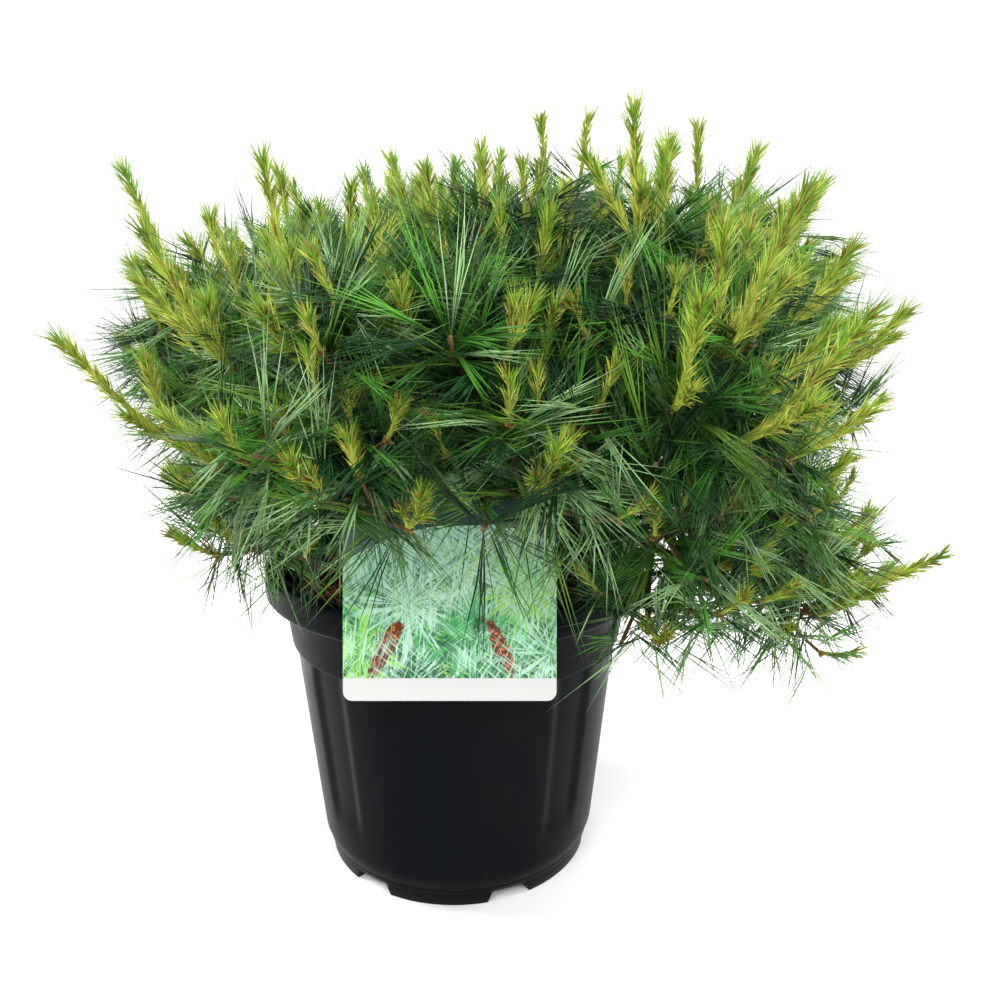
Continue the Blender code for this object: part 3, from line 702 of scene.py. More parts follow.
class Space:
    """Says which points belong to a mass, and what keeps clear of the limbs, pot and card."""

    def __init__(self, centres, limbs):
        self.centres = rows(centres)
        self.starts = rows(start for start, _, _ in limbs)
        self.runs = rows(end - start for start, end, _ in limbs)
        self.radii = np.array([radius for _, _, radius in limbs])

    def distances(self, mass, spots):
        """How far each spot lies from its mass's own centre and from the nearest other one."""
        far = np.linalg.norm(spots[:, None] - self.centres[None], axis=2)
        own = far[:, mass].copy()
        far[:, mass] = np.inf
        return own, far.min(axis=1)

    def holds(self, mass, points):
        own, other = self.distances(mass, rows(points))
        return bool((own + SPACE_MARGIN < other).all())

    def clear_of_limbs(self, points, half_width):
        away = rows(points)[:, None] - self.starts[None]
        share = (away * self.runs).sum(axis=2) / (self.runs**2).sum(axis=1)
        nearest = self.runs[None] * np.clip(share, 0, 1)[:, :, None]
        gap = np.linalg.norm(away - nearest, axis=2) - self.radii
        return bool((gap > half_width + LIMB_MARGIN).all())

    def clear_of_pot_and_card(self, points):
        for point in points:
            wide = math.hypot(point.x, point.y) < LIP_RADIUS + POT_MARGIN
            if wide and point.z < POT_HEIGHT + POT_MARGIN:
                return False
        sides = [point.y - card_back(point.z) for point in points]
        for i, point in enumerate(points):
            level = CARD_FOOT - CARD_CLEAR < point.z < CARD_TOP + TONGUE_CLEAR
            beside = abs(point.x - CARD_MIDDLE) < CARD_WIDTH / 2 + CARD_CLEAR
            if not (level and beside):
                continue
            crosses = i > 0 and sides[i] * sides[i - 1] < 0
            if crosses or abs(sides[i]) < POT_MARGIN + CARD_THICKNESS:
                return False
        return True


def spaced(start, end, step=0.005):
    steps = max(2, int((end - start).length / step) + 1)
    return [blend(start, end, i / (steps - 1)) for i in range(steps)]


def fits(space, mass, start, end, half_width):
    """Whether a straight piece keeps to its space."""
    line = spaced(start, end)
    return (
        space.holds(mass, (start, end))
        and space.clear_of_limbs(line, half_width)
        and space.clear_of_pot_and_card(line)
    )


def side_twigs(space, mass, stem, lead, under, rng):
    """Places for the side twigs round the leader, each (root, end, way it points)."""
    knee, stem_tip = stem
    first, run = SIDE_ROOTS
    start = rng.uniform(0, 360)
    found = []
    for side in range(SIDE_TWIGS):
        root = blend(knee, stem_tip, first + run * side / SIDE_TWIGS)
        spread = SIDE_SPREAD + rng.uniform(-SIDE_SPREAD_LOOSE, SIDE_SPREAD_LOOSE)
        base = start + 360 * side / SIDE_TWIGS + rng.uniform(-SIDE_TURN_LOOSE, SIDE_TURN_LOOSE)
        stretch = rng.uniform(*SIDE_STRETCH)
        for swing, share in SIDE_TRIES:
            way = swung(lead, spread, math.radians(base + swing))
            end = stem_tip + way * SIDE_LENGTH * stretch * share
            way = lifted(way + lead * SIDE_FOLLOW, TWIG_LIFT)
            room = end + way * SPRAY_CORE_LENGTH * SIDE_ROOM
            apart = all((end - other).length > SPRAY_APART for _, other, _ in found)
            apart = apart and end.z > under + SPRAY_ABOVE
            checked_from = blend(root, end, SIDE_CHECK_FROM)
            clear = fits(space, mass, checked_from, room, SPRAY_CORE_RADIUS + SIDE_CHECK_MORE)
            if apart and clear and space.holds(mass, (root,)):
                found.append((root, end, way))
                break
    return found


def candle_room(space, mass, spray, way, wanted):
    """The longest candle, of the lengths that the rule tries, that keeps to its space."""
    upright = lifted(way, CANDLE_LIFT)
    neck = spray + way * SPRAY_CORE_LENGTH
    for share in CANDLE_TRIES:
        tip = neck + (way + upright).normalized() * CANDLE_NECK + upright * (wanted * share - CANDLE_NECK)
        if space.holds(mass, (neck, tip)) and fits(space, mass, spray, tip, SPRAY_CORE_RADIUS):
            return wanted * share
    return 0.0


# Finer growth: smaller twigs on the rule's own, and short spurs along the boughs

GOLDEN_TURN = math.radians(137.5)
FINER_SEED = 1200
FINER_TWIGS = 3
FINER_TRIES = 9
FINER_LENGTH = (0.014, 0.030)
FINER_SPREAD = (38, 78)
FINER_ROOT = (0.25, 0.95)
FINER_FOLLOW = 0.35
FINER_LIFT = (0.3, 1.0)
FINER_BEND = 0.0015
FINER_STEP = 0.002
FINER_RADII = (TWIG_TIP_RADIUS * 1.1, TWIG_TIP_RADIUS, TWIG_TIP_RADIUS * 0.8)
FINER_CANDLE = (0.45, 0.85)
FINER_CANDLE_SHARE = 0.8
SPUR_STEP = 0.013
SPUR_START = 0.30
SPUR_LENGTH = (0.010, 0.024)
SPUR_SPREAD = (50, 85)
SPUR_FIRST = (0.2, 1.0)
SPUR_APART = (0.7, 1.3)
SPUR_FOLLOW = 0.5
SPUR_LIFT = 0.25
SPUR_RADII = (TWIG_TIP_RADIUS * 1.1, TWIG_TIP_RADIUS * 0.8)

# A twig with its spray: path and radii of its wood, where the spray's core starts, the way
# it points, the length of its candle, and rank 0 for the rule's own, 1 for finer, 2 for spurs.
Shoot = namedtuple("Shoot", "mass path radii spray way candle rank")


def rule_shoots(mass, bough, seat, arrives, space):
    """The shoots that the solids have in this mass."""
    rng = random.Random(SEED + SEED_STEP * mass)
    lead = towards(bough.bearing, bough.rise)
    start = seat + arrives * GAP
    knee = start + arrives * STEM_LENGTH * STEM_KNEE
    stem_tip = start + (arrives + lead).normalized() * STEM_LENGTH
    end = stem_tip + lead * LEADER_LENGTH
    sides = side_twigs(space, mass, (knee, stem_tip), lead, bough.under, rng)
    spray = end + lead * SPRAY_STEP
    candle = candle_room(space, mass, spray, lead, bough.candle * rng.uniform(*LEADER_CANDLE))
    path = [start, knee, stem_tip, end]
    shoots = [Shoot(mass, path, LEADER_RADII, spray, lead, candle, 0)]
    for root, side, way in sides:
        spray = side + way * SPRAY_STEP
        candle = candle_room(space, mass, spray, way, bough.candle * rng.uniform(*SIDE_CANDLE))
        bend = blend(root, side, 0.5) - way * SIDE_BEND
        shoots.append(Shoot(mass, [root, bend, side], SIDE_RADII, spray, way, candle, 0))
    return shoots


def finer_shoots(parent, bough, space, rng):
    """Smaller twigs that fork off one of the rule's shoots, where there is room."""
    found = []
    root_from, root_to = parent.path[-2], parent.path[-1]
    start = rng.uniform(0, math.tau)
    for attempt in range(FINER_TRIES):
        if len(found) == FINER_TWIGS:
            break
        root = blend(root_from, root_to, rng.uniform(*FINER_ROOT))
        way = swung(parent.way, rng.uniform(*FINER_SPREAD), start + GOLDEN_TURN * attempt)
        end = root + way * rng.uniform(*FINER_LENGTH)
        way = lifted(way + parent.way * FINER_FOLLOW, TWIG_LIFT * rng.uniform(*FINER_LIFT))
        room = end + way * SPRAY_CORE_LENGTH
        clear = space.holds(parent.mass, (end, room)) and space.clear_of_pot_and_card(spaced(root, room))
        if not clear or end.z < bough.under + SPRAY_ABOVE:
            continue
        candle = parent.candle * rng.uniform(*FINER_CANDLE)
        grows = rng.random() < FINER_CANDLE_SHARE
        candle = candle_room(space, parent.mass, end, way, candle) if grows else 0.0
        bend = blend(root, end, 0.5) - way * FINER_BEND
        spray = end + way * FINER_STEP
        found.append(Shoot(parent.mass, [root, bend, end], FINER_RADII, spray, way, candle, 1))
    return found


def spur_shoots(mass, bough, path, space, rng):
    """Short leafy spurs along the outer part of a bough."""
    found = []
    along = 0.0
    whole = path_length(path)
    turn = rng.uniform(0, math.tau)
    for low, high in zip(path, path[1:]):
        run = (high - low).length
        at = SPUR_STEP * rng.uniform(*SPUR_FIRST)
        while at < run:
            if (along + at) / whole > SPUR_START:
                root = blend(low, high, at / run)
                ahead = (high - low).normalized()
                way = swung(ahead, rng.uniform(*SPUR_SPREAD), turn)
                end = root + way * rng.uniform(*SPUR_LENGTH)
                way = lifted(way + ahead * SPUR_FOLLOW, SPUR_LIFT)
                room = end + way * SPRAY_CORE_LENGTH
                if space.clear_of_pot_and_card(spaced(root, room)) and end.z > bough.under + SPRAY_ABOVE:
                    found.append(Shoot(mass, [root, end], SPUR_RADII, end, way, 0.0, 2))
            turn += GOLDEN_TURN
            at += SPUR_STEP * rng.uniform(*SPUR_APART)
        along += run
    return found


@lru_cache(maxsize=1)
def grown():
    """Every shoot of the crown, from the rule's own to the spurs."""
    paths = [bough_path(bough) for bough in BOUGHS]
    limbs = []
    rings = trunk_rings()
    for (low, low_radius), (high, high_radius) in zip(rings, rings[1:]):
        limbs.append((low, high, max(low_radius, high_radius)))
    for bough, path in zip(BOUGHS, paths):
        limbs += list(zip(path, path[1:], bough_radii(bough)))
    seats = [(bough, path[-1], (path[-1] - path[-2]).normalized()) for bough, path in zip(BOUGHS, paths)]
    seats.append((TOP, TRUNK_TIP.copy(), Vector((0, 0, 1))))
    centres = [seat + towards(bough.bearing, bough.rise) * MASS_CENTRE for bough, seat, _ in seats]
    space = Space(centres, limbs)
    shoots = []
    for mass, (bough, seat, arrives) in enumerate(seats):
        rng = random.Random(FINER_SEED + mass)
        own = rule_shoots(mass, bough, seat, arrives, space)
        shoots += own
        for parent in own:
            shoots += finer_shoots(parent, bough, space, rng)
        if mass < len(paths):
            shoots += spur_shoots(mass, bough, paths[mass], space, rng)
    return shoots, space


# Pot

POT_COLUMNS = 360
POT_SHARP = 40
NOTCH_CLEAR = 0.0002
HUB = 0.0006
FADE_STEPS = 6
BODY_LEVELS = (0.075, 0.100, 0.125)
LIP_STEPS = 5
LIP_INNER_ROUND = 0.0016
LIP_INNER_STEPS = 3
DRAIN_SIDES = 24
DRAIN_OVERRUN = 0.002


def flute_share(bearing):
    """How deep in a flute this bearing lies: 0 on the panels and 1 on a flute's floor."""
    pitch = 360 / FLUTES
    into = (bearing - FLUTE_START) % pitch
    edge, far_edge = FLUTE_FLOOR
    if into > FLUTE_END:
        return 0.0
    return eased(min(1.0, into / edge, (FLUTE_END - into) / (FLUTE_END - far_edge)))


def notch_share(bearing):
    """1 where a notch parts the foot ring, and 0 on a foot."""
    pitch = 360 / FEET
    off = (bearing - NOTCH_BEARING + pitch / 2) % pitch - pitch / 2
    across = FOOT_RADIUS * math.radians(abs(off))
    half = NOTCH_WIDTH / 2
    return min(1.0, max(0.0, (half + NOTCH_SLOPE - across) / NOTCH_SLOPE))


def arc(across, height, radius, start, end, steps):
    """(across, height) along part of a circle, in degrees from straight out."""
    turns = [math.radians(blend(start, end, i / steps)) for i in range(steps + 1)]
    return [(across + radius * math.cos(t), height + radius * math.sin(t)) for t in turns]


def rings_of(spots, fluted=0, foot=0):
    """Rings of one kind, from their (radius, height)."""
    return [(radius, height, fluted, foot) for radius, height in spots]


def pot_rings():
    """(radius, height, flute share, is the foot's edge) from under the floor, up and back in."""
    fade_low, fade_high = FLUTE_FADE
    inside = POT_WALL
    foot_in = FOOT_RADIUS - FOOT_WALL
    rings = rings_of([
        (HUB, 0.0),
        (PAD_RADIUS - 0.0006, 0.0),
        (PAD_RADIUS, 0.0006),
        (PAD_RADIUS, FOOT_HEIGHT),
        (foot_in - 0.0004, FOOT_HEIGHT),
        (foot_in, FOOT_HEIGHT - 0.0004),
    ])
    foot = [
        (foot_in, 0.0005),
        (foot_in + 0.0005, 0.0),
        (FOOT_RADIUS - 0.0008, 0.0),
        (FOOT_RADIUS - 0.0002, 0.0006),
        (FOOT_RADIUS + 0.0004, FOOT_HEIGHT - 0.0010),
    ]
    rings += rings_of(foot, foot=1)
    rings += rings_of([
        (FOOT_RADIUS + 0.0006, FOOT_HEIGHT),
        (CHAMFER_RADIUS - 0.0010, CHAMFER_TOP - 0.0030),
        (CHAMFER_RADIUS - 0.0001, CHAMFER_TOP - 0.0006),
        (body_radius(CHAMFER_TOP + 0.0030), CHAMFER_TOP + 0.0030),
    ])
    for i in range(FADE_STEPS + 1):
        height = blend(fade_low, fade_high, i / FADE_STEPS)
        rings.append((body_radius(height), height, eased(i / FADE_STEPS), 0))
    rings += rings_of([(body_radius(height), height) for height in BODY_LEVELS], 1)
    rings.append((BODY_TOP_RADIUS - 0.0001, BODY_TOP - 0.0006, 1, 0))
    rings.append((BODY_TOP_RADIUS + 0.0003, BODY_TOP, 0.6, 0))
    rings += rings_of([
        (COLLAR_FOOT_RADIUS - 0.0006, BODY_TOP + 0.0003),
        (COLLAR_FOOT_RADIUS - 0.0001, BODY_TOP + 0.0010),
        (COLLAR_FOOT_RADIUS, BODY_TOP + 0.0020),
        (blend(COLLAR_FOOT_RADIUS, COLLAR_TOP_RADIUS, 0.5), blend(BODY_TOP, COLLAR_TOP, 0.5)),
        (COLLAR_TOP_RADIUS - 0.0003, COLLAR_TOP - 0.0030),
        (COLLAR_TOP_RADIUS + 0.0006, COLLAR_TOP - 0.0006),
        (COLLAR_TOP_RADIUS + 0.0026, COLLAR_TOP + 0.0004),
        (LIP_RADIUS - 0.0024, LIP_FOOT - 0.0004),
        (LIP_RADIUS - 0.0008, LIP_FOOT + 0.0001),
        (LIP_RADIUS - 0.0001, LIP_FOOT + 0.0011),
        (LIP_RADIUS, LIP_FOOT + 0.0030),
        (LIP_RADIUS - 0.0002, blend(LIP_FOOT, LIP_SHOULDER, 0.7)),
    ])
    bead = POT_HEIGHT - LIP_SHOULDER
    rings += rings_of(arc(LIP_RADIUS - 0.0003 - bead, LIP_SHOULDER, bead, 0, 90, LIP_STEPS))
    middle = LIP_INNER_RADIUS + LIP_INNER_ROUND
    height = POT_HEIGHT - LIP_INNER_ROUND
    rings += rings_of(arc(middle, height, LIP_INNER_ROUND, 90, 180, LIP_INNER_STEPS))
    rings += rings_of([
        (COLLAR_TOP_RADIUS - inside, COLLAR_TOP),
        (COLLAR_FOOT_RADIUS - inside, BODY_TOP + 0.0034),
    ])
    rings += rings_of([
        (BODY_TOP_RADIUS - inside, BODY_TOP),
        (body_radius(fade_high) - inside, fade_high),
    ], 1)
    rings += rings_of([
        (body_radius(fade_low) - inside, fade_low),
        (CHAMFER_RADIUS - inside, FLOOR_TOP),
        (HUB, FLOOR_TOP),
    ])
    return rings


def drain_cutter():
    """Six round cutters for the drain holes, as one object that isn't shown."""
    heap = Heap()
    for foot in range(FEET):
        out = towards(NOTCH_BEARING + 360 / FEET * foot) * DRAIN_RING
        heights = (FOOT_HEIGHT - DRAIN_OVERRUN, FLOOR_TOP + DRAIN_OVERRUN)
        ends = [Vector((out.x, out.y, height)) for height in heights]
        points, quads = tube_arrays(ends, [DRAIN_RADIUS] * 2, DRAIN_SIDES)
        heap.add(np.concatenate([points, rows(ends)]), quads, cap_triangles(2, DRAIN_SIDES))
    return heap


def pot_mesh():
    """The whole pot, with its drain holes cut."""
    rings = pot_rings()
    points = []
    for radius, height, fluted, foot in rings:
        for column in range(POT_COLUMNS):
            bearing = 360 * column / POT_COLUMNS
            recess = FLUTE_DEPTH * fluted * flute_share(bearing)
            point = towards(bearing) * (radius - recess)
            notch = notch_share(bearing) if foot else 0.0
            point.z = max(height, blend(height, FOOT_HEIGHT - NOTCH_CLEAR, notch))
            points.append(point)
    pot = plain_object("pot_blank", points, closed_faces(len(rings), POT_COLUMNS))
    cutter = drain_cutter()
    holes = np.concatenate(cutter.quads).tolist() + np.concatenate(cutter.triangles).tolist()
    cut_away(pot, plain_object("drains", np.concatenate(cutter.points), holes))
    return kept_mesh(pot, "nursery_pot")


def pot_finish(looks):
    finish = Finish("moulded_plastic", {"Specular IOR Level": 0.03})
    place = finish.place()
    _, _, height = finish.parts(place)
    cloud = finish.spots(14, 5, place, (1.0, 1.0, 0.5))
    streak = finish.spots(60, 3, place, (1.0, 1.0, 0.06))
    scuff = finish.step(finish.spots(190, 6, place), 0.60, 0.78)
    collar = finish.step(height, BODY_TOP, BODY_TOP + 0.002)
    collar = collar * (1 - finish.step(height, COLLAR_TOP, LIP_FOOT))
    foot = 1 - finish.step(height, 0.004, 0.030)
    dust = finish.step(cloud, 0.42, 0.80) * 0.07 + streak * 0.02 + scuff * 0.08
    dust = dust + collar * 0.05 + foot * 0.05
    finish.feed("Base Color", finish.mix(looks.plastic, looks.dust, dust))
    finish.feed("Roughness", looks.roughness + cloud * 0.12 + scuff * 0.15 + collar * 0.06)
    finish.bump(finish.spots(1500, 2, place) + streak * 0.6, looks.grain)
    return finish


# Mulch: the bed first, then the sizes, shapes and places of the chips on it

MULCH_SIDES = 120
MULCH_RINGS = 22
MULCH_HUB = 0.0008
MULCH_SEAT = SOIL_TOP - 0.0012
MULCH_ROUGH = 0.02
MULCH_BUMP = SOIL_BUMP * 0.9
MULCH_LUMPS_A_METRE = 90
CHIP_SEED = 77
CHIP_LONG = (0.35, 1.0)
CHIP_WIDE = (0.28, 0.6)
CHIP_THICK = (0.0009, 0.0026)
CHIP_CORNERS = 6
CHIP_UNEVEN = 0.25
CHIP_NOTCHES = (0.75, 1.0)
CHIP_SKEW = (0.85, 1.0)
CHIP_SHARP = 30
CHIP_TILT = 16
CHIP_LEAN = 13
CHIP_SHARES = (0.45, 0.85)
CHIP_FIELD = COLLAR_TOP_RADIUS - POT_WALL - 0.006
CHIP_INNER = 0.045
CHIP_RIM = 0.012
CHIP_RIM_DROP = 0.0015
CHIP_HEIGHTS = (-0.0012, 0.0030)


def mulch_bed():
    """The root ball, with an uneven top and a flat seat round the trunk."""
    clear = POT_WALL + SOIL_CLEAR
    levels = [
        (MULCH_HUB, FLOOR_TOP + GAP),
        (CHAMFER_RADIUS - clear - 0.002, FLOOR_TOP + GAP),
        (BODY_TOP_RADIUS - clear - FLUTE_DEPTH - 0.001, BODY_TOP - 0.004),
        (COLLAR_FOOT_RADIUS - clear - 0.001, BODY_TOP + 0.008),
        (COLLAR_TOP_RADIUS - clear - 0.0004, COLLAR_TOP - 0.001),
    ]
    outer = COLLAR_TOP_RADIUS - clear - 0.0030
    levels += [(blend(outer, MULCH_HUB, i / MULCH_RINGS), MULCH_SEAT) for i in range(MULCH_RINGS + 1)]
    points = []
    for radius, height in levels:
        top = height > COLLAR_TOP
        for side in range(MULCH_SIDES):
            point = towards(360 * side / MULCH_SIDES) * radius
            point.z = height
            if top:
                rough = min(1.0, max(0.0, (radius - TRUNK_FLARE) / MULCH_ROUGH))
                point.z += rough * MULCH_BUMP * noise.noise(point * MULCH_LUMPS_A_METRE)
            points.append(tuple(point))
    heap = Heap()
    heap.add(points, ring_quads(len(levels), MULCH_SIDES))
    return heap


def chip_shape(rng, longest):
    """A flat, irregular six-sided chip of bark about its own middle."""
    long = longest * rng.uniform(*CHIP_LONG)
    wide = long * rng.uniform(*CHIP_WIDE)
    thick = rng.uniform(*CHIP_THICK)
    turns = []
    for i in range(CHIP_CORNERS):
        turns.append(math.tau * (i + rng.uniform(-CHIP_UNEVEN, CHIP_UNEVEN)) / CHIP_CORNERS)
    reach = [rng.uniform(*CHIP_NOTCHES) for _ in turns]
    points = []
    for side in (-0.5, 0.5):
        for turn, far in zip(turns, reach):
            far = far * rng.uniform(*CHIP_SKEW)
            lift = rng.uniform(-CHIP_UNEVEN, CHIP_UNEVEN)
            across, over = math.cos(turn) * far * long / 2, math.sin(turn) * far * wide / 2
            points.append((across, over, thick * (side + lift)))
    ends = [(6, 7, 8, 9), (9, 10, 11, 6), (3, 2, 1, 0), (0, 5, 4, 3)]
    return np.array(points), np.concatenate([ring_quads(2, CHIP_CORNERS), ends])


def chip_heaps(looks):
    """Loose chips of three tints over the root ball, each tint in its own heap."""
    rng = random.Random(CHIP_SEED)
    heaps = [Heap() for _ in range(3)]
    for _ in range(looks.chips):
        far = CHIP_FIELD * math.sqrt(rng.uniform(CHIP_INNER, 1.0))
        spot = towards(rng.uniform(0, 360)) * far
        points, quads = chip_shape(rng, looks.chip_length)
        tilt = Matrix.Rotation(math.radians(rng.gauss(0, CHIP_TILT)), 3, "X")
        turn = Matrix.Rotation(rng.uniform(0, math.tau), 3, "Z")
        lean = Matrix.Rotation(math.radians(rng.gauss(0, CHIP_LEAN)), 3, "Y")
        edge = max(0.0, (far - CHIP_FIELD + CHIP_RIM) / CHIP_RIM)
        spot.z = SOIL_TOP + rng.uniform(*CHIP_HEIGHTS) - edge * CHIP_RIM_DROP
        placed = points @ np.array(turn @ lean @ tilt).T + np.array(spot)
        pick = rng.random()
        heaps[sum(pick >= share for share in CHIP_SHARES)].add(placed, quads)
    return heaps


def chip_finish(name, tint):
    finish = Finish(name, {"Roughness": 0.82, "Specular IOR Level": 0.3})
    grain = finish.spots(420, 5, None, (1.0, 1.0, 3.0))
    cloud = finish.spots(70, 3)
    grained = finish.mix(toned(tint, 0.45), tint, grain * 1.4)
    dry = finish.step(cloud, 0.5, 0.8) * 0.5
    finish.feed("Base Color", finish.mix(grained, toned(tint, 1.5), dry))
    finish.bump(grain, 0.0005)
    return finish


# Wood

TRUNK_RINGS = 150
TRUNK_COLUMNS = 72
BOUGH_RINGS_A_METRE = 420
BOUGH_COLUMNS = 18
BOUGH_RELIEF = 0.6
TWIG_RELIEF = 0.0002
TRUNK_GIRTH = 1.0
BOUGH_GIRTH = 0.5
TWIG_GIRTH = 0.3
CORE_TAPER = 0.9
TWIG_FORM = (7, 6)
SPUR_FORM = (3, 4)


def bark_lift(point, turn, girth):
    """Height of the bark there, about -1 to 1: ridges along the limb, broken by cracks."""
    around = Vector((math.cos(turn), math.sin(turn), 0.0)) * girth
    ridges = noise.noise(around * 3.0 + Vector((0, 0, point.z * 70)) + Vector((7.3, 0, 0)))
    cracks = abs(noise.noise(around * 1.6 + point * 60))
    fine = noise.noise(point * 800)
    return ridges * 0.8 + min(1.0, cracks * 4.0) * 0.7 - 0.7 + fine * 0.35


def smooth_path(path, radii, steps):
    """The same line with more points on it, rounded at its corners, and its radii."""
    lengths = [0.0]
    for a, b in zip(path, path[1:]):
        lengths.append(lengths[-1] + (b - a).length)
    points, wide = [], []
    for step in range(steps + 1):
        at = lengths[-1] * step / steps
        i = max(k for k in range(len(lengths) - 1) if lengths[k] <= at + TINY)
        share = (at - lengths[i]) / (lengths[i + 1] - lengths[i])
        before, after = path[max(i - 1, 0)], path[min(i + 2, len(path) - 1)]
        a, b = path[i], path[i + 1]
        curve = (
            a * 2
            + (b - before) * share
            + (before * 2 - a * 5 + b * 4 - after) * share**2
            + (a * 3 - before - b * 3 + after) * share**3
        )
        points.append(curve * 0.5)
        wide.append(blend(radii[i], radii[i + 1], share))
    return points, wide


def add_limb(heap, path, radii, sides, relief, girth):
    """A closed limb with the bark's relief, which fades out at both ends."""
    points = []
    last = len(path) - 1
    for i, (centre, radius, (_, across, over)) in enumerate(zip(path, radii, frames_along(path))):
        fade = min(1.0, i / 3, (last - i) / 3)
        for side in range(sides):
            turn = math.tau * side / sides
            out = at_turn(across, over, turn)
            lift = bark_lift(centre + out * radius, turn, girth) * relief * fade
            points.append(centre + out * (radius + lift))
    spots = rows([*points, path[0], path[-1]])
    heap.add(spots, ring_quads(len(path), sides), cap_triangles(len(path), sides))


def trunk_heap(relief):
    heights = [blend(TRUNK_FOOT.z, TRUNK_TIP.z, i / TRUNK_RINGS) for i in range(TRUNK_RINGS + 1)]
    middles, radii = zip(*[trunk_at(height) for height in heights])
    heap = Heap()
    add_limb(heap, middles, radii, TRUNK_COLUMNS, relief, TRUNK_GIRTH)
    return heap


def bough_heap(relief):
    heap = Heap()
    for bough in BOUGHS:
        path = bough_path(bough)
        line, wide = smooth_path(path, bough_radii(bough), int(path_length(path) * BOUGH_RINGS_A_METRE))
        add_limb(heap, line, wide, BOUGH_COLUMNS, relief, BOUGH_GIRTH)
    return heap


def twig_heap():
    """The twigs and spurs, each with the core of its spray."""
    heap = Heap()
    for shoot in grown()[0]:
        rings, sides = TWIG_FORM if shoot.rank < 2 else SPUR_FORM
        path = [*shoot.path, shoot.spray + shoot.way * SPRAY_CORE_LENGTH]
        line, wide = smooth_path(path, [*shoot.radii, shoot.radii[-1] * CORE_TAPER], rings)
        add_limb(heap, line, wide, sides, TWIG_RELIEF, TWIG_GIRTH)
    return heap


def bark_finish(name, looks, main, scale):
    finish = Finish(name, {"Specular IOR Level": 0.3})
    place = finish.place()
    cloud = finish.spots(scale, 5, place)
    fine = finish.spots(scale * 9, 4, place, (1.0, 1.0, 0.5))
    base = finish.mix(looks.crack, main, finish.step(fine, 0.30, 0.62))
    worn = finish.step(cloud, 0.52, 0.78) * 0.5
    finish.feed("Base Color", finish.mix(base, toned(main, 1.7), worn))
    finish.feed("Roughness", 0.72 + fine * 0.2)
    finish.bump(fine, 0.0006)
    return finish


# Needles. Threes are for the ranks of shoot. A mood is a mix of the tints for one spray, and
# LOW is for the boughs below LOW_BOUGH, whose needles are fewer and hang further. Their
# moods lean to the pale tint as a painted highlight: it stands in for the floor's light on
# the low needles.

NEEDLE_SEED = 905
SPRAY_BACK = (0.016, 0.010, 0.008)
SPRAY_ANGLES = ((122, 70), (118, 64), (114, 46))
BUNDLES_BY_RANK = (1.0, 0.60, 0.34)
LENGTH_BY_RANK = (1.0, 0.86, 0.80)
BUNDLE_LEAN = 8
BUNDLE_TURN = 0.3
BUNDLE_SPREAD = 0.06
BUNDLE_LENGTHS = (0.84, 1.04)
NEEDLE_LENGTHS = (0.90, 1.04)
NEEDLE_WIDTHS = (0.85, 1.1)
NEEDLE_SHRINK = (1.0, 0.82, 0.64, 0.48)
SOFT_BORDER = 0.012
HANGING = 0.14
LOW_HANGING = 0.38
HANGING_DEPTH = (-0.012, 0.016)
LOW_HANGING_DEPTH = (-0.032, 0.010)
LOW_BOUGH = 0.258
LOW_SHARE = 0.50
STRAYS = 0.09
STRAY_LENGTH = 1.30
STRAY_REACH = 1.17
REACH_SPREAD = 0.06
SPUR_REACH = 0.012
NEEDLE_CARD_CLEAR = 0.002
NEEDLE_TONGUE_CLEAR = 0.003
NEEDLE_KNEE = 0.42
NEEDLE_SAG = (0.04, 0.24)
NEEDLE_BEND = 0.10
TINTS = ("deep", "shade", "green", "olive", "fresh", "pale")
MOOD_SHARES = (0.28, 0.38, 0.24, 0.10)
# Mostly the pale-heavy last mood: a painted highlight for the floor's light on the low boughs' needles.
LOW_MOODS_PAINTED_HIGHLIGHT = (0.02, 0.12, 0.16, 0.70)
TINT_SHARES = (
    (0.34, 0.26, 0.22, 0.08, 0.06, 0.04),
    (0.14, 0.20, 0.30, 0.16, 0.12, 0.08),
    (0.08, 0.10, 0.26, 0.28, 0.20, 0.08),
    (0.10, 0.17, 0.18, 0.06, 0.09, 0.40),
)


def any_across(ways, rng):
    """A unit vector square to each way, at a random turn."""
    loose = rng.normal(size=ways.shape)
    loose -= ways * (loose * ways).sum(axis=1, keepdims=True)
    return unit(loose)


def is_low(mass):
    return CARRIERS[mass].height < LOW_BOUGH


def bundle_arrays(shoot, looks, rng):
    """Roots, ways and lengths of a spray's bundles, from the back of the core to its front."""
    share_kept = LOW_SHARE if is_low(shoot.mass) else 1.0
    number = int(looks.per_spray * BUNDLES_BY_RANK[shoot.rank] * share_kept)
    along = (np.arange(number) + rng.random(number)) / number
    way = np.array(shoot.way)
    back = SPRAY_BACK[shoot.rank]
    roots = np.array(shoot.spray) + way * ((back + SPRAY_CORE_LENGTH) * along - back)[:, None]
    angle = blend(*SPRAY_ANGLES[shoot.rank], along**0.85) + rng.normal(0, BUNDLE_LEAN, number)
    angle = np.radians(angle)[:, None]
    across = np.array(shoot.way.orthogonal().normalized())
    turn = np.arange(number) * GOLDEN_TURN + rng.uniform(0, math.tau)
    turn = (turn + rng.normal(0, BUNDLE_TURN, number))[:, None]
    out = across * np.cos(turn) + np.cross(way, across) * np.sin(turn)
    ways = out * np.sin(angle) + way * np.cos(angle)
    lengths = NEEDLE_LENGTH * LENGTH_BY_RANK[shoot.rank] * rng.uniform(*BUNDLE_LENGTHS, number)
    return roots, ways, lengths


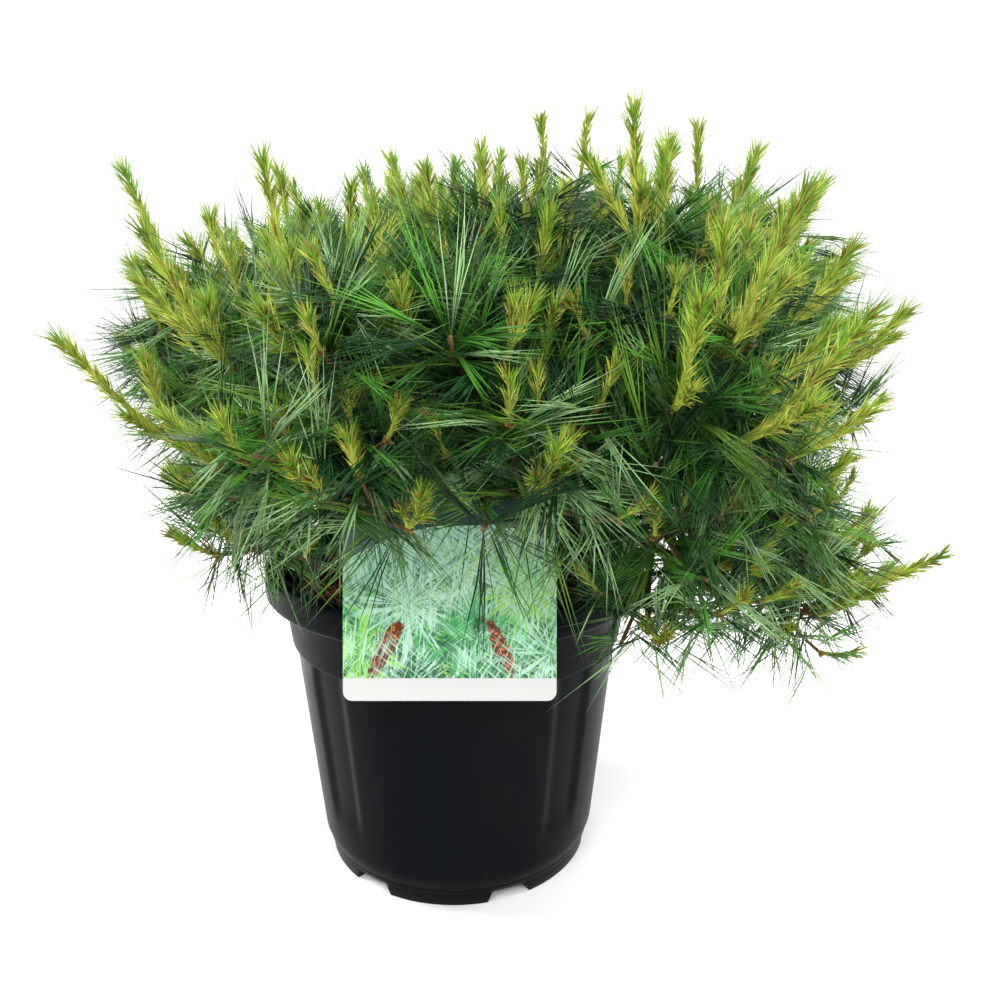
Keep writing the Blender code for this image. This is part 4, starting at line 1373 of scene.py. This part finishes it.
def crosses_card(start, end, hole):
    """Whether each straight run passes through the card or its tongue."""
    offset = card_offset()
    sides = [p[:, 1] + offset - CARD_SLOPE * p[:, 2] for p in (start, end)]
    run = sides[0] - sides[1]
    share = sides[0] / np.where(np.abs(run) < TINY, TINY, run)
    across, _, height = (start + (end - start) * share[:, None]).T
    on_card = np.abs(across - CARD_MIDDLE) < CARD_WIDTH / 2 + NEEDLE_CARD_CLEAR
    on_card &= (height > CARD_FOOT - NEEDLE_CARD_CLEAR) & (height < CARD_TOP + NEEDLE_CARD_CLEAR)
    on_tongue = np.abs(across - hole.x) < TONGUE_HALF_WIDTH + NEEDLE_TONGUE_CLEAR
    on_tongue &= (height > CARD_FOOT) & (height < hole.z + TONGUE_HALF_WIDTH + NEEDLE_CARD_CLEAR)
    return (share > 0) & (share < 1) & (on_card | on_tongue)


def bent(roots, ways, bends, lengths):
    """Knees and tips of needles that turn a little half way."""
    knees = roots + ways * (lengths * NEEDLE_KNEE)[:, None]
    tips = knees + unit(ways + bends) * (lengths * (1 - NEEDLE_KNEE))[:, None]
    return knees, tips


def room_for(space, mass, spur, under, hole, reach, roots, knees, tips):
    """Which needles keep clear of the pot and card, above their limit and near their mass."""
    room = tips[:, 2] > under
    for spots in (knees, tips, (knees + tips) / 2):
        wide = np.hypot(spots[:, 0], spots[:, 1]) < LIP_RADIUS + POT_MARGIN
        room &= ~(wide & (spots[:, 2] < POT_HEIGHT + POT_MARGIN))
    own, other = space.distances(mass, tips)
    inside = (own < other + SOFT_BORDER) & (own < reach)
    room &= np.where(spur, np.minimum(own, other) < reach + SPUR_REACH, inside)
    room &= ~crosses_card(roots, knees, hole)
    room &= ~crosses_card(knees, tips, hole)
    return room


def three_round(middles, ways, width, rng):
    """Three points round each middle, square to its way."""
    across = any_across(ways, rng)
    over = np.cross(ways, across)
    half = np.broadcast_to(width, (len(middles),))[:, None] / 2
    turns = (0, math.tau / 3, 2 * math.tau / 3)
    return [middles + at_turn(across, over, turn) * half for turn in turns]


def spindles(heap, roots, middles, tips, width, rng):
    """Needles pointed at both ends, with a bend where they are thickest, six faces each."""
    number = len(roots)
    ring = three_round(middles, unit(tips - roots), width, rng)
    points = np.stack([roots, *ring, tips], axis=1)
    first = np.arange(number)[:, None, None] * 5
    faces = np.array([(0, 2, 1), (0, 3, 2), (0, 1, 3), (1, 2, 4), (2, 3, 4), (3, 1, 4)])[None] + first
    heap.add(points.reshape(-1, 3), (), faces.reshape(-1, 3))


def mass_bundles(mass, shoots, looks, rng):
    """Roots, ways, lengths, tints, sags and whether on a spur, of each needle of one mass."""
    # Low boughs take the paler moods, a painted highlight for the floor's light on their needles.
    moods = LOW_MOODS_PAINTED_HIGHLIGHT if is_low(mass) else MOOD_SHARES
    gathered = []
    for shoot in shoots:
        roots, ways, lengths = bundle_arrays(shoot, looks, rng)
        number = len(roots)
        # Spurs, set inside the crown along the boughs, take the darkest mood: their older needles are
        # darker, and it is also painted shade for the crown's inside.
        mood = rng.choice(len(moods), p=moods) if shoot.rank < 2 else 0
        tint = rng.choice(len(TINTS), size=number, p=TINT_SHARES[mood])
        sag = np.full(number, rng.uniform(*NEEDLE_SAG))
        spur = np.full(number, shoot.rank == 2)
        parts = (roots, ways, lengths, tint, sag, spur)
        gathered.append([np.repeat(part, looks.per_bundle, axis=0) for part in parts])
    return [np.concatenate(part) for part in zip(*gathered)]


def mass_needles(mass, shoots, space, looks, heaps):
    """The long needles of one mass, put in the heap of their tint by spray and bundle."""
    rng = np.random.default_rng(NEEDLE_SEED + mass)
    roots, ways, lengths, tint, sag, spur = mass_bundles(mass, shoots, looks, rng)
    number = len(roots)
    ways = unit(ways + rng.normal(0, BUNDLE_SPREAD, (number, 3)))
    bends = rng.normal(0, NEEDLE_BEND, (number, 3))
    bends[:, 2] -= sag * (1 - np.abs(ways[:, 2]))
    stray = rng.random(number) < STRAYS
    lengths = lengths * rng.uniform(*NEEDLE_LENGTHS, number) * np.where(stray, STRAY_LENGTH, 1.0)
    reach = MASS_REACH * (1 + rng.normal(0, REACH_SPREAD, number)) * np.where(stray, STRAY_REACH, 1.0)
    low = is_low(mass)
    hanging = rng.random(number) < (LOW_HANGING if low else HANGING)
    under = CARRIERS[mass].under + np.where(hanging, *(LOW_HANGING_DEPTH if low else HANGING_DEPTH))
    hole, _, _ = card_hole()
    left = np.ones(number, bool)
    for shrink in NEEDLE_SHRINK:
        knees, tips = bent(roots, ways, bends, lengths * shrink)
        good = left & room_for(space, mass, spur, under, hole, reach, roots, knees, tips)
        left &= ~good
        for place, heap in enumerate(heaps):
            pick = good & (tint == place)
            width = looks.width * rng.uniform(*NEEDLE_WIDTHS, pick.sum())
            spindles(heap, roots[pick], knees[pick], tips[pick], width, rng)


def needle_heaps(looks):
    """All long needles as one heap for each tint."""
    shoots, space = grown()
    heaps = [Heap() for _ in TINTS]
    for mass in range(len(CARRIERS)):
        mass_needles(mass, [shoot for shoot in shoots if shoot.mass == mass], space, looks, heaps)
    return heaps


def needle_finish(name, tint):
    finish = Finish(name, {"Roughness": 0.32, "Specular IOR Level": 0.18})
    place = finish.place()
    cloud = finish.spots(46, 3, place)
    fine = finish.spots(700, 2, place)
    lit = finish.step(cloud, 0.28, 0.72) * 0.75 + fine * 0.25
    finish.feed("Base Color", finish.mix(toned(tint, 0.32), toned(tint, 1.45), lit))
    return finish


# Candles: each has a stem, a brush of short needles and papery scales, and may have a whorl

CANDLE_SEED = 411
CANDLE_STEM = (0.0015, 0.0009)
CANDLE_KINDS = ("gold", "lime", "bright")
CANDLE_STEPS = 5
CANDLE_SIDES = 6
CANDLE_TIP = 0.4
FINER_NECK = 0.8
WHORL_SPREAD = (18, 40)
WHORL_LIFT = 0.15
WHORL_LOOSE = 0.5
WHORL_SHARE = (0.42, 0.80)
WHORL_NUMBERS = (1, 2, 2, 3)
FINER_WHORL_NUMBERS = (0, 1, 1)
LEAST_CANDLE = 0.018
LEAST_WHORL = 0.02
FINER_SHARE = 0.70
BRUSH_ANGLES = (15, 27)
BRUSH_WIDTH = 0.00092
BRUSH_START = 0.13
BRUSH_CROWDING = (1.70, 1.0)
BRUSH_LEAST = 12
BRUSH_LENGTHS = (0.70, 1.0)
BRUSH_LOOSE = 8
BRUSH_MIXING = 0.30
BRUSH_KINDS = ((-math.inf, 0.42), (0.42, 0.78), (0.78, math.inf))
SCALES_A_METRE = 520
SCALE_START = 0.45
SCALE_LENGTH = 0.0082
SCALE_WIDTH = 0.0012
SCALE_LEAN = 0.001
SCALE_KNEE = 0.45
NODE_SCALES = 9
NODE_SCALE_SPREAD = 0.8
NODE_SCALE_KNEE = 0.4
NODE_SCALE_LENGTH = 0.0045
NODE_SCALE_WIDTH = 0.0022


def spikes(heap, roots, tips, width, rng):
    """Short needles that taper from the stem to a point, three faces each."""
    number = len(roots)
    ring = three_round(roots, unit(tips - roots), width, rng)
    points = np.stack([*ring, tips], axis=1)
    first = np.arange(number)[:, None, None] * 4
    faces = np.array([(0, 1, 3), (1, 2, 3), (2, 0, 3)])[None] + first
    heap.add(points.reshape(-1, 3), (), faces.reshape(-1, 3))


def candle_line(foot, way, upright, reach):
    """The candle's stem, which turns up from the spray's way."""
    points = [foot.copy()]
    for i in range(1, CANDLE_STEPS + 1):
        share = i / CANDLE_STEPS
        turned = (way * (1 - share) ** 2 + upright * (0.6 + share)).normalized()
        points.append(points[-1] + turned * (reach / CANDLE_STEPS))
    return points


def brush(stem, reach, looks, heaps, scales, rng):
    """The short needles and papery scales of one candle."""
    path = rows(stem)
    number = int(BRUSH_LEAST + reach * looks.per_metre)
    along = np.sort(rng.beta(*BRUSH_CROWDING, number)) * (1 - BRUSH_START) + BRUSH_START
    at = along * (len(path) - 1)
    low = np.minimum(at.astype(int), len(path) - 2)
    part = (at - low)[:, None]
    roots = path[low] * (1 - part) + path[low + 1] * part
    ahead = unit(path[low + 1] - path[low])
    out = any_across(ahead, rng)
    angle = np.radians(blend(*BRUSH_ANGLES, along) + rng.normal(0, BRUSH_LOOSE, number))
    ways = ahead * np.cos(angle)[:, None] + out * np.sin(angle)[:, None]
    long = looks.needle * rng.uniform(*BRUSH_LENGTHS, number) * min(1.0, 0.50 + reach * 12)
    long *= 0.62 + 0.38 * along - 0.16 * along**5
    tips = roots + ways * long[:, None]
    pick = along + rng.normal(0, BRUSH_MIXING, number)
    for heap, (start, end) in zip(heaps, BRUSH_KINDS):
        chosen = (pick >= start) & (pick < end)
        if chosen.any():
            spikes(heap, roots[chosen], tips[chosen], BRUSH_WIDTH, rng)
    papery = (along > SCALE_START) & (rng.random(number) < SCALES_A_METRE / looks.per_metre)
    if papery.any():
        starts = roots[papery]
        ends = starts + ways[papery] * SCALE_LENGTH + ahead[papery] * SCALE_LEAN
        spindles(scales, starts, blend(starts, ends, SCALE_KNEE), ends, SCALE_WIDTH, rng)


def shoot_candles(shoot, looks, heaps, loose, rng):
    """A shoot's candle with its whorl of smaller ones, and the scales round its node."""
    stems, brushes, scales = heaps
    neck = shoot.spray + shoot.way * SPRAY_CORE_LENGTH * (FINER_NECK if shoot.rank else 1.0)
    upright = lifted(shoot.way, CANDLE_LIFT)
    main = max(shoot.candle, LEAST_CANDLE)
    whorl = [(upright, main)]
    if shoot.candle > LEAST_WHORL:
        turn = loose.uniform(0, math.tau)
        for _ in range(loose.choice(FINER_WHORL_NUMBERS if shoot.rank else WHORL_NUMBERS)):
            way = swung(upright, loose.uniform(*WHORL_SPREAD), turn)
            turn += math.tau / 3 + loose.uniform(-WHORL_LOOSE, WHORL_LOOSE)
            whorl.append((lifted(way, WHORL_LIFT), main * loose.uniform(*WHORL_SHARE)))
    for way, reach in whorl:
        line = candle_line(neck, shoot.way, way, reach)
        thin = min(1.0, 0.6 + reach * 8)
        radii = [blend(*CANDLE_STEM, i / (len(line) - 1)) * thin for i in range(len(line))]
        radii[-1] *= CANDLE_TIP
        stems.add(*tube_arrays(line, radii, CANDLE_SIDES))
        brush(line, reach, looks, brushes, scales, rng)
    nodes = np.tile(np.array(neck), (NODE_SCALES, 1))
    ahead = np.tile(np.array(shoot.way), (NODE_SCALES, 1))
    reach = unit(ahead + any_across(ahead, rng) * NODE_SCALE_SPREAD) * NODE_SCALE_LENGTH
    spindles(scales, nodes, nodes + reach * NODE_SCALE_KNEE, nodes + reach, NODE_SCALE_WIDTH, rng)


def candle_heaps(looks):
    """Stems, brushes in three tints and scales of all new growth."""
    shoots, _ = grown()
    heaps = Heap(), [Heap() for _ in CANDLE_KINDS], Heap()
    for mass in range(len(CARRIERS)):
        rng = np.random.default_rng(CANDLE_SEED + mass)
        loose = random.Random(CANDLE_SEED + mass)
        for shoot in shoots:
            if shoot.mass != mass or shoot.rank > 1:
                continue
            if shoot.rank == 0 or loose.random() < FINER_SHARE:
                shoot_candles(shoot, looks, heaps, loose, rng)
    return heaps


def candle_finish(name, tint):
    finish = Finish(name, {"Roughness": 0.5, "Specular IOR Level": 0.15})
    cloud = finish.spots(90, 3)
    lit = finish.step(cloud, 0.3, 0.7)
    finish.feed("Base Color", finish.mix(toned(tint, 0.68), toned(tint, 1.25), lit))
    return finish


# Card: its shape, then its printed picture, placed in shares of the card's face

CARD_SHARP = 30
CORNER_STEPS = 8
PUNCH_SIDES = 32
PUNCH_REACH = 0.008
SLIT_REACH = 0.01
SLIT_OVERRUN = 0.004
CARD_STRIP = 0.103
PICTURE_EDGE = (0.628, 0.602, -0.511)
STREAK_SPACING = 0.011
STREAKS = (
    (1.25, "shadow"),
    (2.30, "leaf"),
    (0.60, "mint"),
    (1.80, "shadow"),
    (2.75, "sprout"),
    (0.95, "mint"),
    (2.05, "leaf"),
    (2.60, "shadow"),
    (0.62, "shadow"),
    (1.50, "mint"),
)
FRONT_STREAKS = (2.45, 1.15)
FAN_LINES = 13.0
FANS = (
    (0.86, 0.50, 0.30, "sprout"),
    (0.30, 0.44, 0.34, "mint"),
    (0.60, 0.30, 0.30, "leaf"),
    (0.08, 0.22, 0.30, "sprout"),
    (0.52, 0.60, 0.26, "mint"),
    (0.97, 0.22, 0.28, "mint"),
)
CONES = ((0.20, 0.24, 0.50, 0.165), (0.74, 0.24, -0.42, 0.150))


def rounded(corner, start, radius):
    """Points of a quarter turn about a corner's centre, start in degrees."""
    return arc(*corner, radius, start, start + 90, CORNER_STEPS)


def card_outline(hole):
    """Points of (across, height), counter-clockwise from the front: a card with a tongue."""
    left, right = CARD_MIDDLE - CARD_WIDTH / 2, CARD_MIDDLE + CARD_WIDTH / 2
    c = CARD_CORNER
    outline = rounded((left + c, CARD_FOOT + c), 180, c)
    outline += rounded((right - c, CARD_FOOT + c), 270, c)
    outline += rounded((right - c, CARD_TOP - c), 0, c)
    outline.append((hole.x + TONGUE_FOOT_HALF_WIDTH, CARD_TOP))
    outline += rounded((hole.x, hole.z), 0, TONGUE_HALF_WIDTH)
    outline += rounded((hole.x, hole.z), 90, TONGUE_HALF_WIDTH)[1:]
    outline.append((hole.x - TONGUE_FOOT_HALF_WIDTH, CARD_TOP))
    outline += rounded((left + c, CARD_TOP - c), 90, c)
    return outline


def card_mesh():
    """The card with its tongue, hole and slit, and a map of its face from 0 to 1."""
    hole, bough_radius, ahead = card_hole()
    outline = card_outline(hole)
    points = [(x, card_back(z) - forward, z) for forward in (CARD_THICKNESS, 0.0) for x, z in outline]
    faces = [tuple(reversed(face)) for face in closed_faces(2, len(outline))]
    card = plain_object("card_blank", points, faces)
    clear = bough_radius + GAP * 2
    run = [hole - ahead * PUNCH_REACH, hole + ahead * PUNCH_REACH]
    punched, _ = tube_arrays(run, [clear, clear], PUNCH_SIDES)
    cut_away(card, plain_object("punch", punched, closed_faces(2, PUNCH_SIDES)))
    half = TONGUE_SLIT / 2
    far = hole.x + TONGUE_HALF_WIDTH + SLIT_OVERRUN
    front, back = hole.y - SLIT_REACH, hole.y + SLIT_REACH
    floor = ((hole.x, front), (far, front), (far, back), (hole.x, back))
    corners = [(x, y, z) for z in (hole.z - half, hole.z + half) for x, y in floor]
    cut_away(card, plain_object("slit", corners, closed_faces(2, 4)))
    mesh = kept_mesh(card, "picture_card")
    face_map = mesh.uv_layers.new(name="face")
    left = CARD_MIDDLE - CARD_WIDTH / 2
    for loop in mesh.loops:
        spot = mesh.vertices[loop.vertex_index].co
        across = (spot.x - left) / CARD_WIDTH
        up = (spot.z - CARD_FOOT) / (CARD_TOP - CARD_FOOT)
        face_map.data[loop.index].uv = (across, up)
    return mesh


def streaks(finish, place, lean, spacing, seed):
    """Printed needles that lie side by side: thin streaks at one lean, in patches."""
    sockets = {
        "Vector": place,
        "Location": (seed, -seed, 0.0),
        "Rotation": (0.0, 0.0, lean),
        "Scale": (0.16, spacing, 1.0),
    }
    along = finish.node("ShaderNodeMapping", {"vector_type": "TEXTURE"}, sockets)
    line = finish.cloudy(along, 1.0, 2.0)
    shifted = finish.node("ShaderNodeMapping", None, {"Vector": place, "Location": (seed, seed * 2, 0.0)})
    patch = finish.cloudy(shifted, 4.5, 1.0)
    return finish.step(line, 0.53, 0.61) * finish.step(patch, 0.40, 0.56)


def fan(finish, across, up, middle, reach, lines, seed):
    """A printed tuft: ragged lines that leave one point, open at their ends."""
    dx, dy = across - middle[0], up - middle[1]
    far = finish.maths("SQRT", dx * dx + dy * dy)
    turn = finish.maths("ARCTAN2", dy, dx)
    spot = finish.node("ShaderNodeCombineXYZ", None, {0: turn * lines, 1: far * 4.0, 2: seed})
    line = finish.cloudy(spot, 1.0, 1.5)
    end = finish.cloudy(spot, 0.5, 0.0)
    near = 1 - finish.step(far / reach + end * 0.9, 0.85, 1.15)
    return finish.step(line, 0.47, 0.56) * near


def cone_print(finish, across, up, place, middle, lean, size):
    """A printed cone: its ragged outline, and the dark gaps between its scales."""
    dx, dy = across - middle[0], up - middle[1]
    along = (dy * math.cos(lean) + dx * math.sin(lean)) / size
    aside = (dx * math.cos(lean) - dy * math.sin(lean)) / (size * 0.26)
    ragged = finish.spots(26, 3, place)
    body = 1 - finish.step(along * along + aside * aside + ragged * 1.6, 1.55, 1.75)
    scales = finish.node("ShaderNodeTexVoronoi", None, {"Vector": place, "Scale": 56.0})
    return body, finish.step(scales, 0.16, 0.52)


def card_finish(looks):
    finish = Finish("printed_card", {"Roughness": 0.34, "Coat Weight": 0.15, "Coat Roughness": 0.2})
    place = finish.place("UV")
    across, up, _ = finish.parts(place)
    cloud = finish.spots(3.0, 3, place)
    blotch = finish.spots(7.5, 4, place)
    height = up + (cloud - 0.5) * 0.45 + across * 0.10
    picture = finish.mix(looks.shadow, looks.leaf, finish.step(height, 0.05, 0.46))
    picture = finish.mix(picture, looks.mint, finish.step(height, 0.40, 0.70))
    picture = finish.mix(picture, looks.shadow, finish.step(blotch - up * 0.35, 0.34, 0.50) * 0.85)
    for number, (lean, tint) in enumerate(STREAKS):
        line = streaks(finish, place, lean, STREAK_SPACING, 1.7 * number + 0.4)
        picture = finish.mix(picture, getattr(looks, tint), line * 0.85)
    for number, (x, y, reach, tint) in enumerate(FANS):
        tuft = fan(finish, across, up, (x, y), reach, FAN_LINES, 2.3 * number)
        picture = finish.mix(picture, getattr(looks, tint), tuft * 0.80)
    for x, y, lean, size in CONES:
        body, gaps = cone_print(finish, across, up, place, (x, y), lean, size)
        picture = finish.mix(picture, finish.mix(looks.cone, toned(looks.cone, 0.16), gaps), body)
    for number, lean in enumerate(FRONT_STREAKS):
        line = streaks(finish, place, lean, STREAK_SPACING, 11.3 + number)
        picture = finish.mix(picture, looks.mint, line * 0.55)
    rise = (up - 0.62) * 2.6 + cloud * 0.5 - 0.2
    band = finish.mix(looks.slate, looks.teal, finish.step(rise, 0.0, 0.75))
    start, slope, bend = PICTURE_EDGE
    edge = start + across * slope + across * across * bend
    face = finish.mix(picture, band, finish.step(up - edge, -0.001, 0.002))
    face = finish.mix(looks.paper, face, finish.step(up, CARD_STRIP - 0.001, CARD_STRIP + 0.001))
    finish.feed("Base Color", face)
    return finish


def card_back_finish(looks):
    finish = Finish("card_back", {"Roughness": 0.4})
    wear = finish.spots(90, 4)
    finish.feed("Base Color", finish.mix(looks.paper, toned(looks.paper, 0.9), wear))
    return finish


# Studio

FLOOR_HALF = 4.0
SWEEP_START = 1.6
SWEEP_RADIUS = 1.4
SWEEP_TOP = 3.4
SWEEP_STEPS = 24
CROWN_MIDDLE = (0.0, 0.0, 0.24)


def sweep():
    """Points and faces of a floor that turns up into a backdrop behind the plant."""
    line = [(-FLOOR_HALF, 0.0), (SWEEP_START, 0.0)]
    for i in range(1, SWEEP_STEPS + 1):
        turn = math.pi / 2 * i / SWEEP_STEPS
        line.append((SWEEP_START + SWEEP_RADIUS * math.sin(turn), SWEEP_RADIUS * (1 - math.cos(turn))))
    line.append((SWEEP_START + SWEEP_RADIUS, SWEEP_TOP))
    points = [(side * FLOOR_HALF, y, z) for y, z in line for side in (-1, 1)]
    return points, [(2 * i, 2 * i + 1, 2 * i + 3, 2 * i + 2) for i in range(len(line) - 1)]


def photo_camera():
    """The photograph's camera."""
    camera = bpy.data.cameras.new("camera")
    camera.lens = CAMERA_LENS
    camera.sensor_width = CAMERA_SENSOR
    camera.clip_start = CAMERA_NEAR
    view = in_scene("camera", camera)
    view.location = CAMERA_PLACE
    view.rotation_euler = (math.radians(90 - CAMERA_DOWN), 0.0, 0.0)
    return view


def even_air(strength):
    """A world that gives an even white light from all round."""
    world = bpy.data.worlds.new("air")
    world.use_nodes = True
    sky = world.node_tree.nodes["Background"]
    sky.inputs["Color"].default_value = (1.0, 1.0, 1.0, 1.0)
    sky.inputs["Strength"].default_value = strength
    return world


def soft_light(name, place, aim, size, energy):
    """A rectangular soft light at a place, turned towards a point."""
    light = bpy.data.lights.new(name, "AREA")
    light.shape = "RECTANGLE"
    light.size, light.size_y = size
    light.energy = energy
    made = in_scene(name, light)
    made.location = place
    made.rotation_euler = (Vector(aim) - Vector(place)).to_track_quat("-Z", "Y").to_euler()


# Operators


class PINE_OT_studio(bpy.types.Operator):
    """Sets the camera, the pale floor with its backdrop, and the soft lights"""

    bl_idname = "pine.studio"
    bl_label = "Studio"

    def execute(self, context):
        looks = context.scene.pine_studio
        context.scene.camera = photo_camera()
        finish = Finish("pale_floor", {"Roughness": 0.6})
        finish.feed("Base Color", looks.floor)
        floor = plain_object("backdrop", *sweep())
        floor.data.shade_smooth()
        floor.data.materials.append(finish.material)
        soft_light("key", (-0.75, -1.05, 1.35), CROWN_MIDDLE, (0.9, 0.9), looks.key)
        soft_light("fill", (1.05, -1.0, 0.55), CROWN_MIDDLE, (0.9, 0.9), looks.fill)
        soft_light("edge_left", (-1.15, 0.15, 0.75), CROWN_MIDDLE, (0.35, 0.9), looks.edge)
        soft_light("edge_right", (1.15, 0.25, 0.75), CROWN_MIDDLE, (0.35, 0.9), looks.edge)
        soft_light("top", (0.0, 0.05, 1.7), CROWN_MIDDLE, (1.2, 0.9), looks.top)
        soft_light("ground", (0.0, -1.25, 1.15), (0.0, -0.85, 0.0), (1.8, 0.5), looks.ground)
        soft_light("wall", (0.0, 0.9, 2.6), (0.0, 3.0, 0.9), (2.4, 1.2), looks.wall)
        context.scene.world = even_air(looks.air)
        context.scene.view_settings.view_transform = "Standard"
        return {"FINISHED"}


class PINE_OT_pot(bpy.types.Operator):
    """Builds the fluted pot with its collar, rolled lip, feet and drain holes"""

    bl_idname = "pine.pot"
    bl_label = "Pot"

    def execute(self, context):
        made = piece_of(pot_mesh(), pot_finish(context.scene.pine_pot), POT_SHARP)
        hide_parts("pot")
        return {"FINISHED"}


class PINE_OT_mulch(bpy.types.Operator):
    """Builds the root ball's bed and the bark chips on it"""

    bl_idname = "pine.mulch"
    bl_label = "Mulch"

    def execute(self, context):
        looks = context.scene.pine_mulch
        bed = mulch_bed().piece("mulch_bed", chip_finish("mulch_bed", looks.dark))
        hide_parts("soil")
        for name, heap in zip(("dark", "red", "pale"), chip_heaps(looks)):
            finish = chip_finish(f"chips_{name}", getattr(looks, name))
            chips = heap.piece(f"chips_{name}", finish, CHIP_SHARP)
        return {"FINISHED"}


class PINE_OT_wood(bpy.types.Operator):
    """Builds the trunk, boughs and twigs with the relief of their bark"""

    bl_idname = "pine.wood"
    bl_label = "Wood"

    def execute(self, context):
        looks = context.scene.pine_bark
        finish = bark_finish("trunk_bark", looks, looks.old, 60)
        made = trunk_heap(looks.relief).piece("trunk_bark", finish)
        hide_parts("trunk")
        finish = bark_finish("bough_bark", looks, looks.old, 90)
        made = bough_heap(looks.relief * BOUGH_RELIEF).piece("bough_bark", finish)
        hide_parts(*[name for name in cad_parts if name.startswith("bough_")])
        made = twig_heap().piece("twig_bark", bark_finish("twig_bark", looks, looks.young, 160))
        return {"FINISHED"}


class PINE_OT_needles(bpy.types.Operator):
    """Builds the long needles of every spray"""

    bl_idname = "pine.needles"
    bl_label = "Needles"

    def execute(self, context):
        looks = context.scene.pine_needles
        masses = [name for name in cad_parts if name.startswith("mass_")]
        for name, heap in zip(TINTS, needle_heaps(looks)):
            made = heap.piece(f"needles_{name}", needle_finish(f"needles_{name}", getattr(looks, name)))
            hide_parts(*masses)
        return {"FINISHED"}


class PINE_OT_candles(bpy.types.Operator):
    """Builds the upright new growth: stems, short needles and scales"""

    bl_idname = "pine.candles"
    bl_label = "Candles"

    def execute(self, context):
        looks = context.scene.pine_candles
        stems, heaps, scales = candle_heaps(looks)
        stems.piece("candle_stems", candle_finish("candle_stems", looks.stem))
        for name, heap in zip(CANDLE_KINDS, heaps):
            finish = candle_finish(f"candle_{name}", getattr(looks, name))
            heap.piece(f"candle_{name}", finish)
        scales.piece("candle_scales", candle_finish("candle_scales", looks.scale))
        return {"FINISHED"}


class PINE_OT_card(bpy.types.Operator):
    """Builds the picture card that hangs on a bough"""

    bl_idname = "pine.card"
    bl_label = "Card"

    def execute(self, context):
        looks = context.scene.pine_card
        mesh = card_mesh()
        made = piece_of(mesh, card_finish(looks), CARD_SHARP)
        mesh.materials.append(card_back_finish(looks).material)
        for face in mesh.polygons:
            face.material_index = 0 if face.normal.y < -0.8 else 1
        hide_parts("card")
        return {"FINISHED"}


class PINE_PT_sidebar(bpy.types.Panel):
    """Lists the pine's pieces and their settings"""

    bl_idname = "PINE_PT_sidebar"
    bl_label = "Pine"
    bl_space_type = "VIEW_3D"
    bl_region_type = "UI"
    bl_category = "Pine"

    def draw(self, context):
        for operator, settings, _ in STEPS:
            box = self.layout.box()
            box.operator(operator.bl_idname)
            looks = getattr(context.scene, settings)
            for name in looks.__annotations__:
                box.prop(looks, name)


STEPS = (
    (PINE_OT_studio, "pine_studio", StudioLooks),
    (PINE_OT_pot, "pine_pot", PotLooks),
    (PINE_OT_mulch, "pine_mulch", MulchLooks),
    (PINE_OT_card, "pine_card", CardLooks),
    (PINE_OT_wood, "pine_bark", BarkLooks),
    (PINE_OT_needles, "pine_needles", NeedleLooks),
    (PINE_OT_candles, "pine_candles", CandleLooks),
)


def register():
    for operator, settings, group in STEPS:
        bpy.utils.register_class(group)
        setattr(bpy.types.Scene, settings, bpy.props.PointerProperty(type=group))
        bpy.utils.register_class(operator)
    bpy.utils.register_class(PINE_PT_sidebar)


def unregister():
    bpy.utils.unregister_class(PINE_PT_sidebar)
    for operator, settings, group in reversed(STEPS):
        bpy.utils.unregister_class(operator)
        delattr(bpy.types.Scene, settings)
        bpy.utils.unregister_class(group)


def main():
    register()
    bpy.ops.pine.studio()
    bpy.ops.pine.pot()
    bpy.ops.pine.mulch()
    bpy.ops.pine.card()
    bpy.ops.pine.wood()
    bpy.ops.pine.needles()
    bpy.ops.pine.candles()
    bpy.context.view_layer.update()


if __name__ == "__main__":
    main()
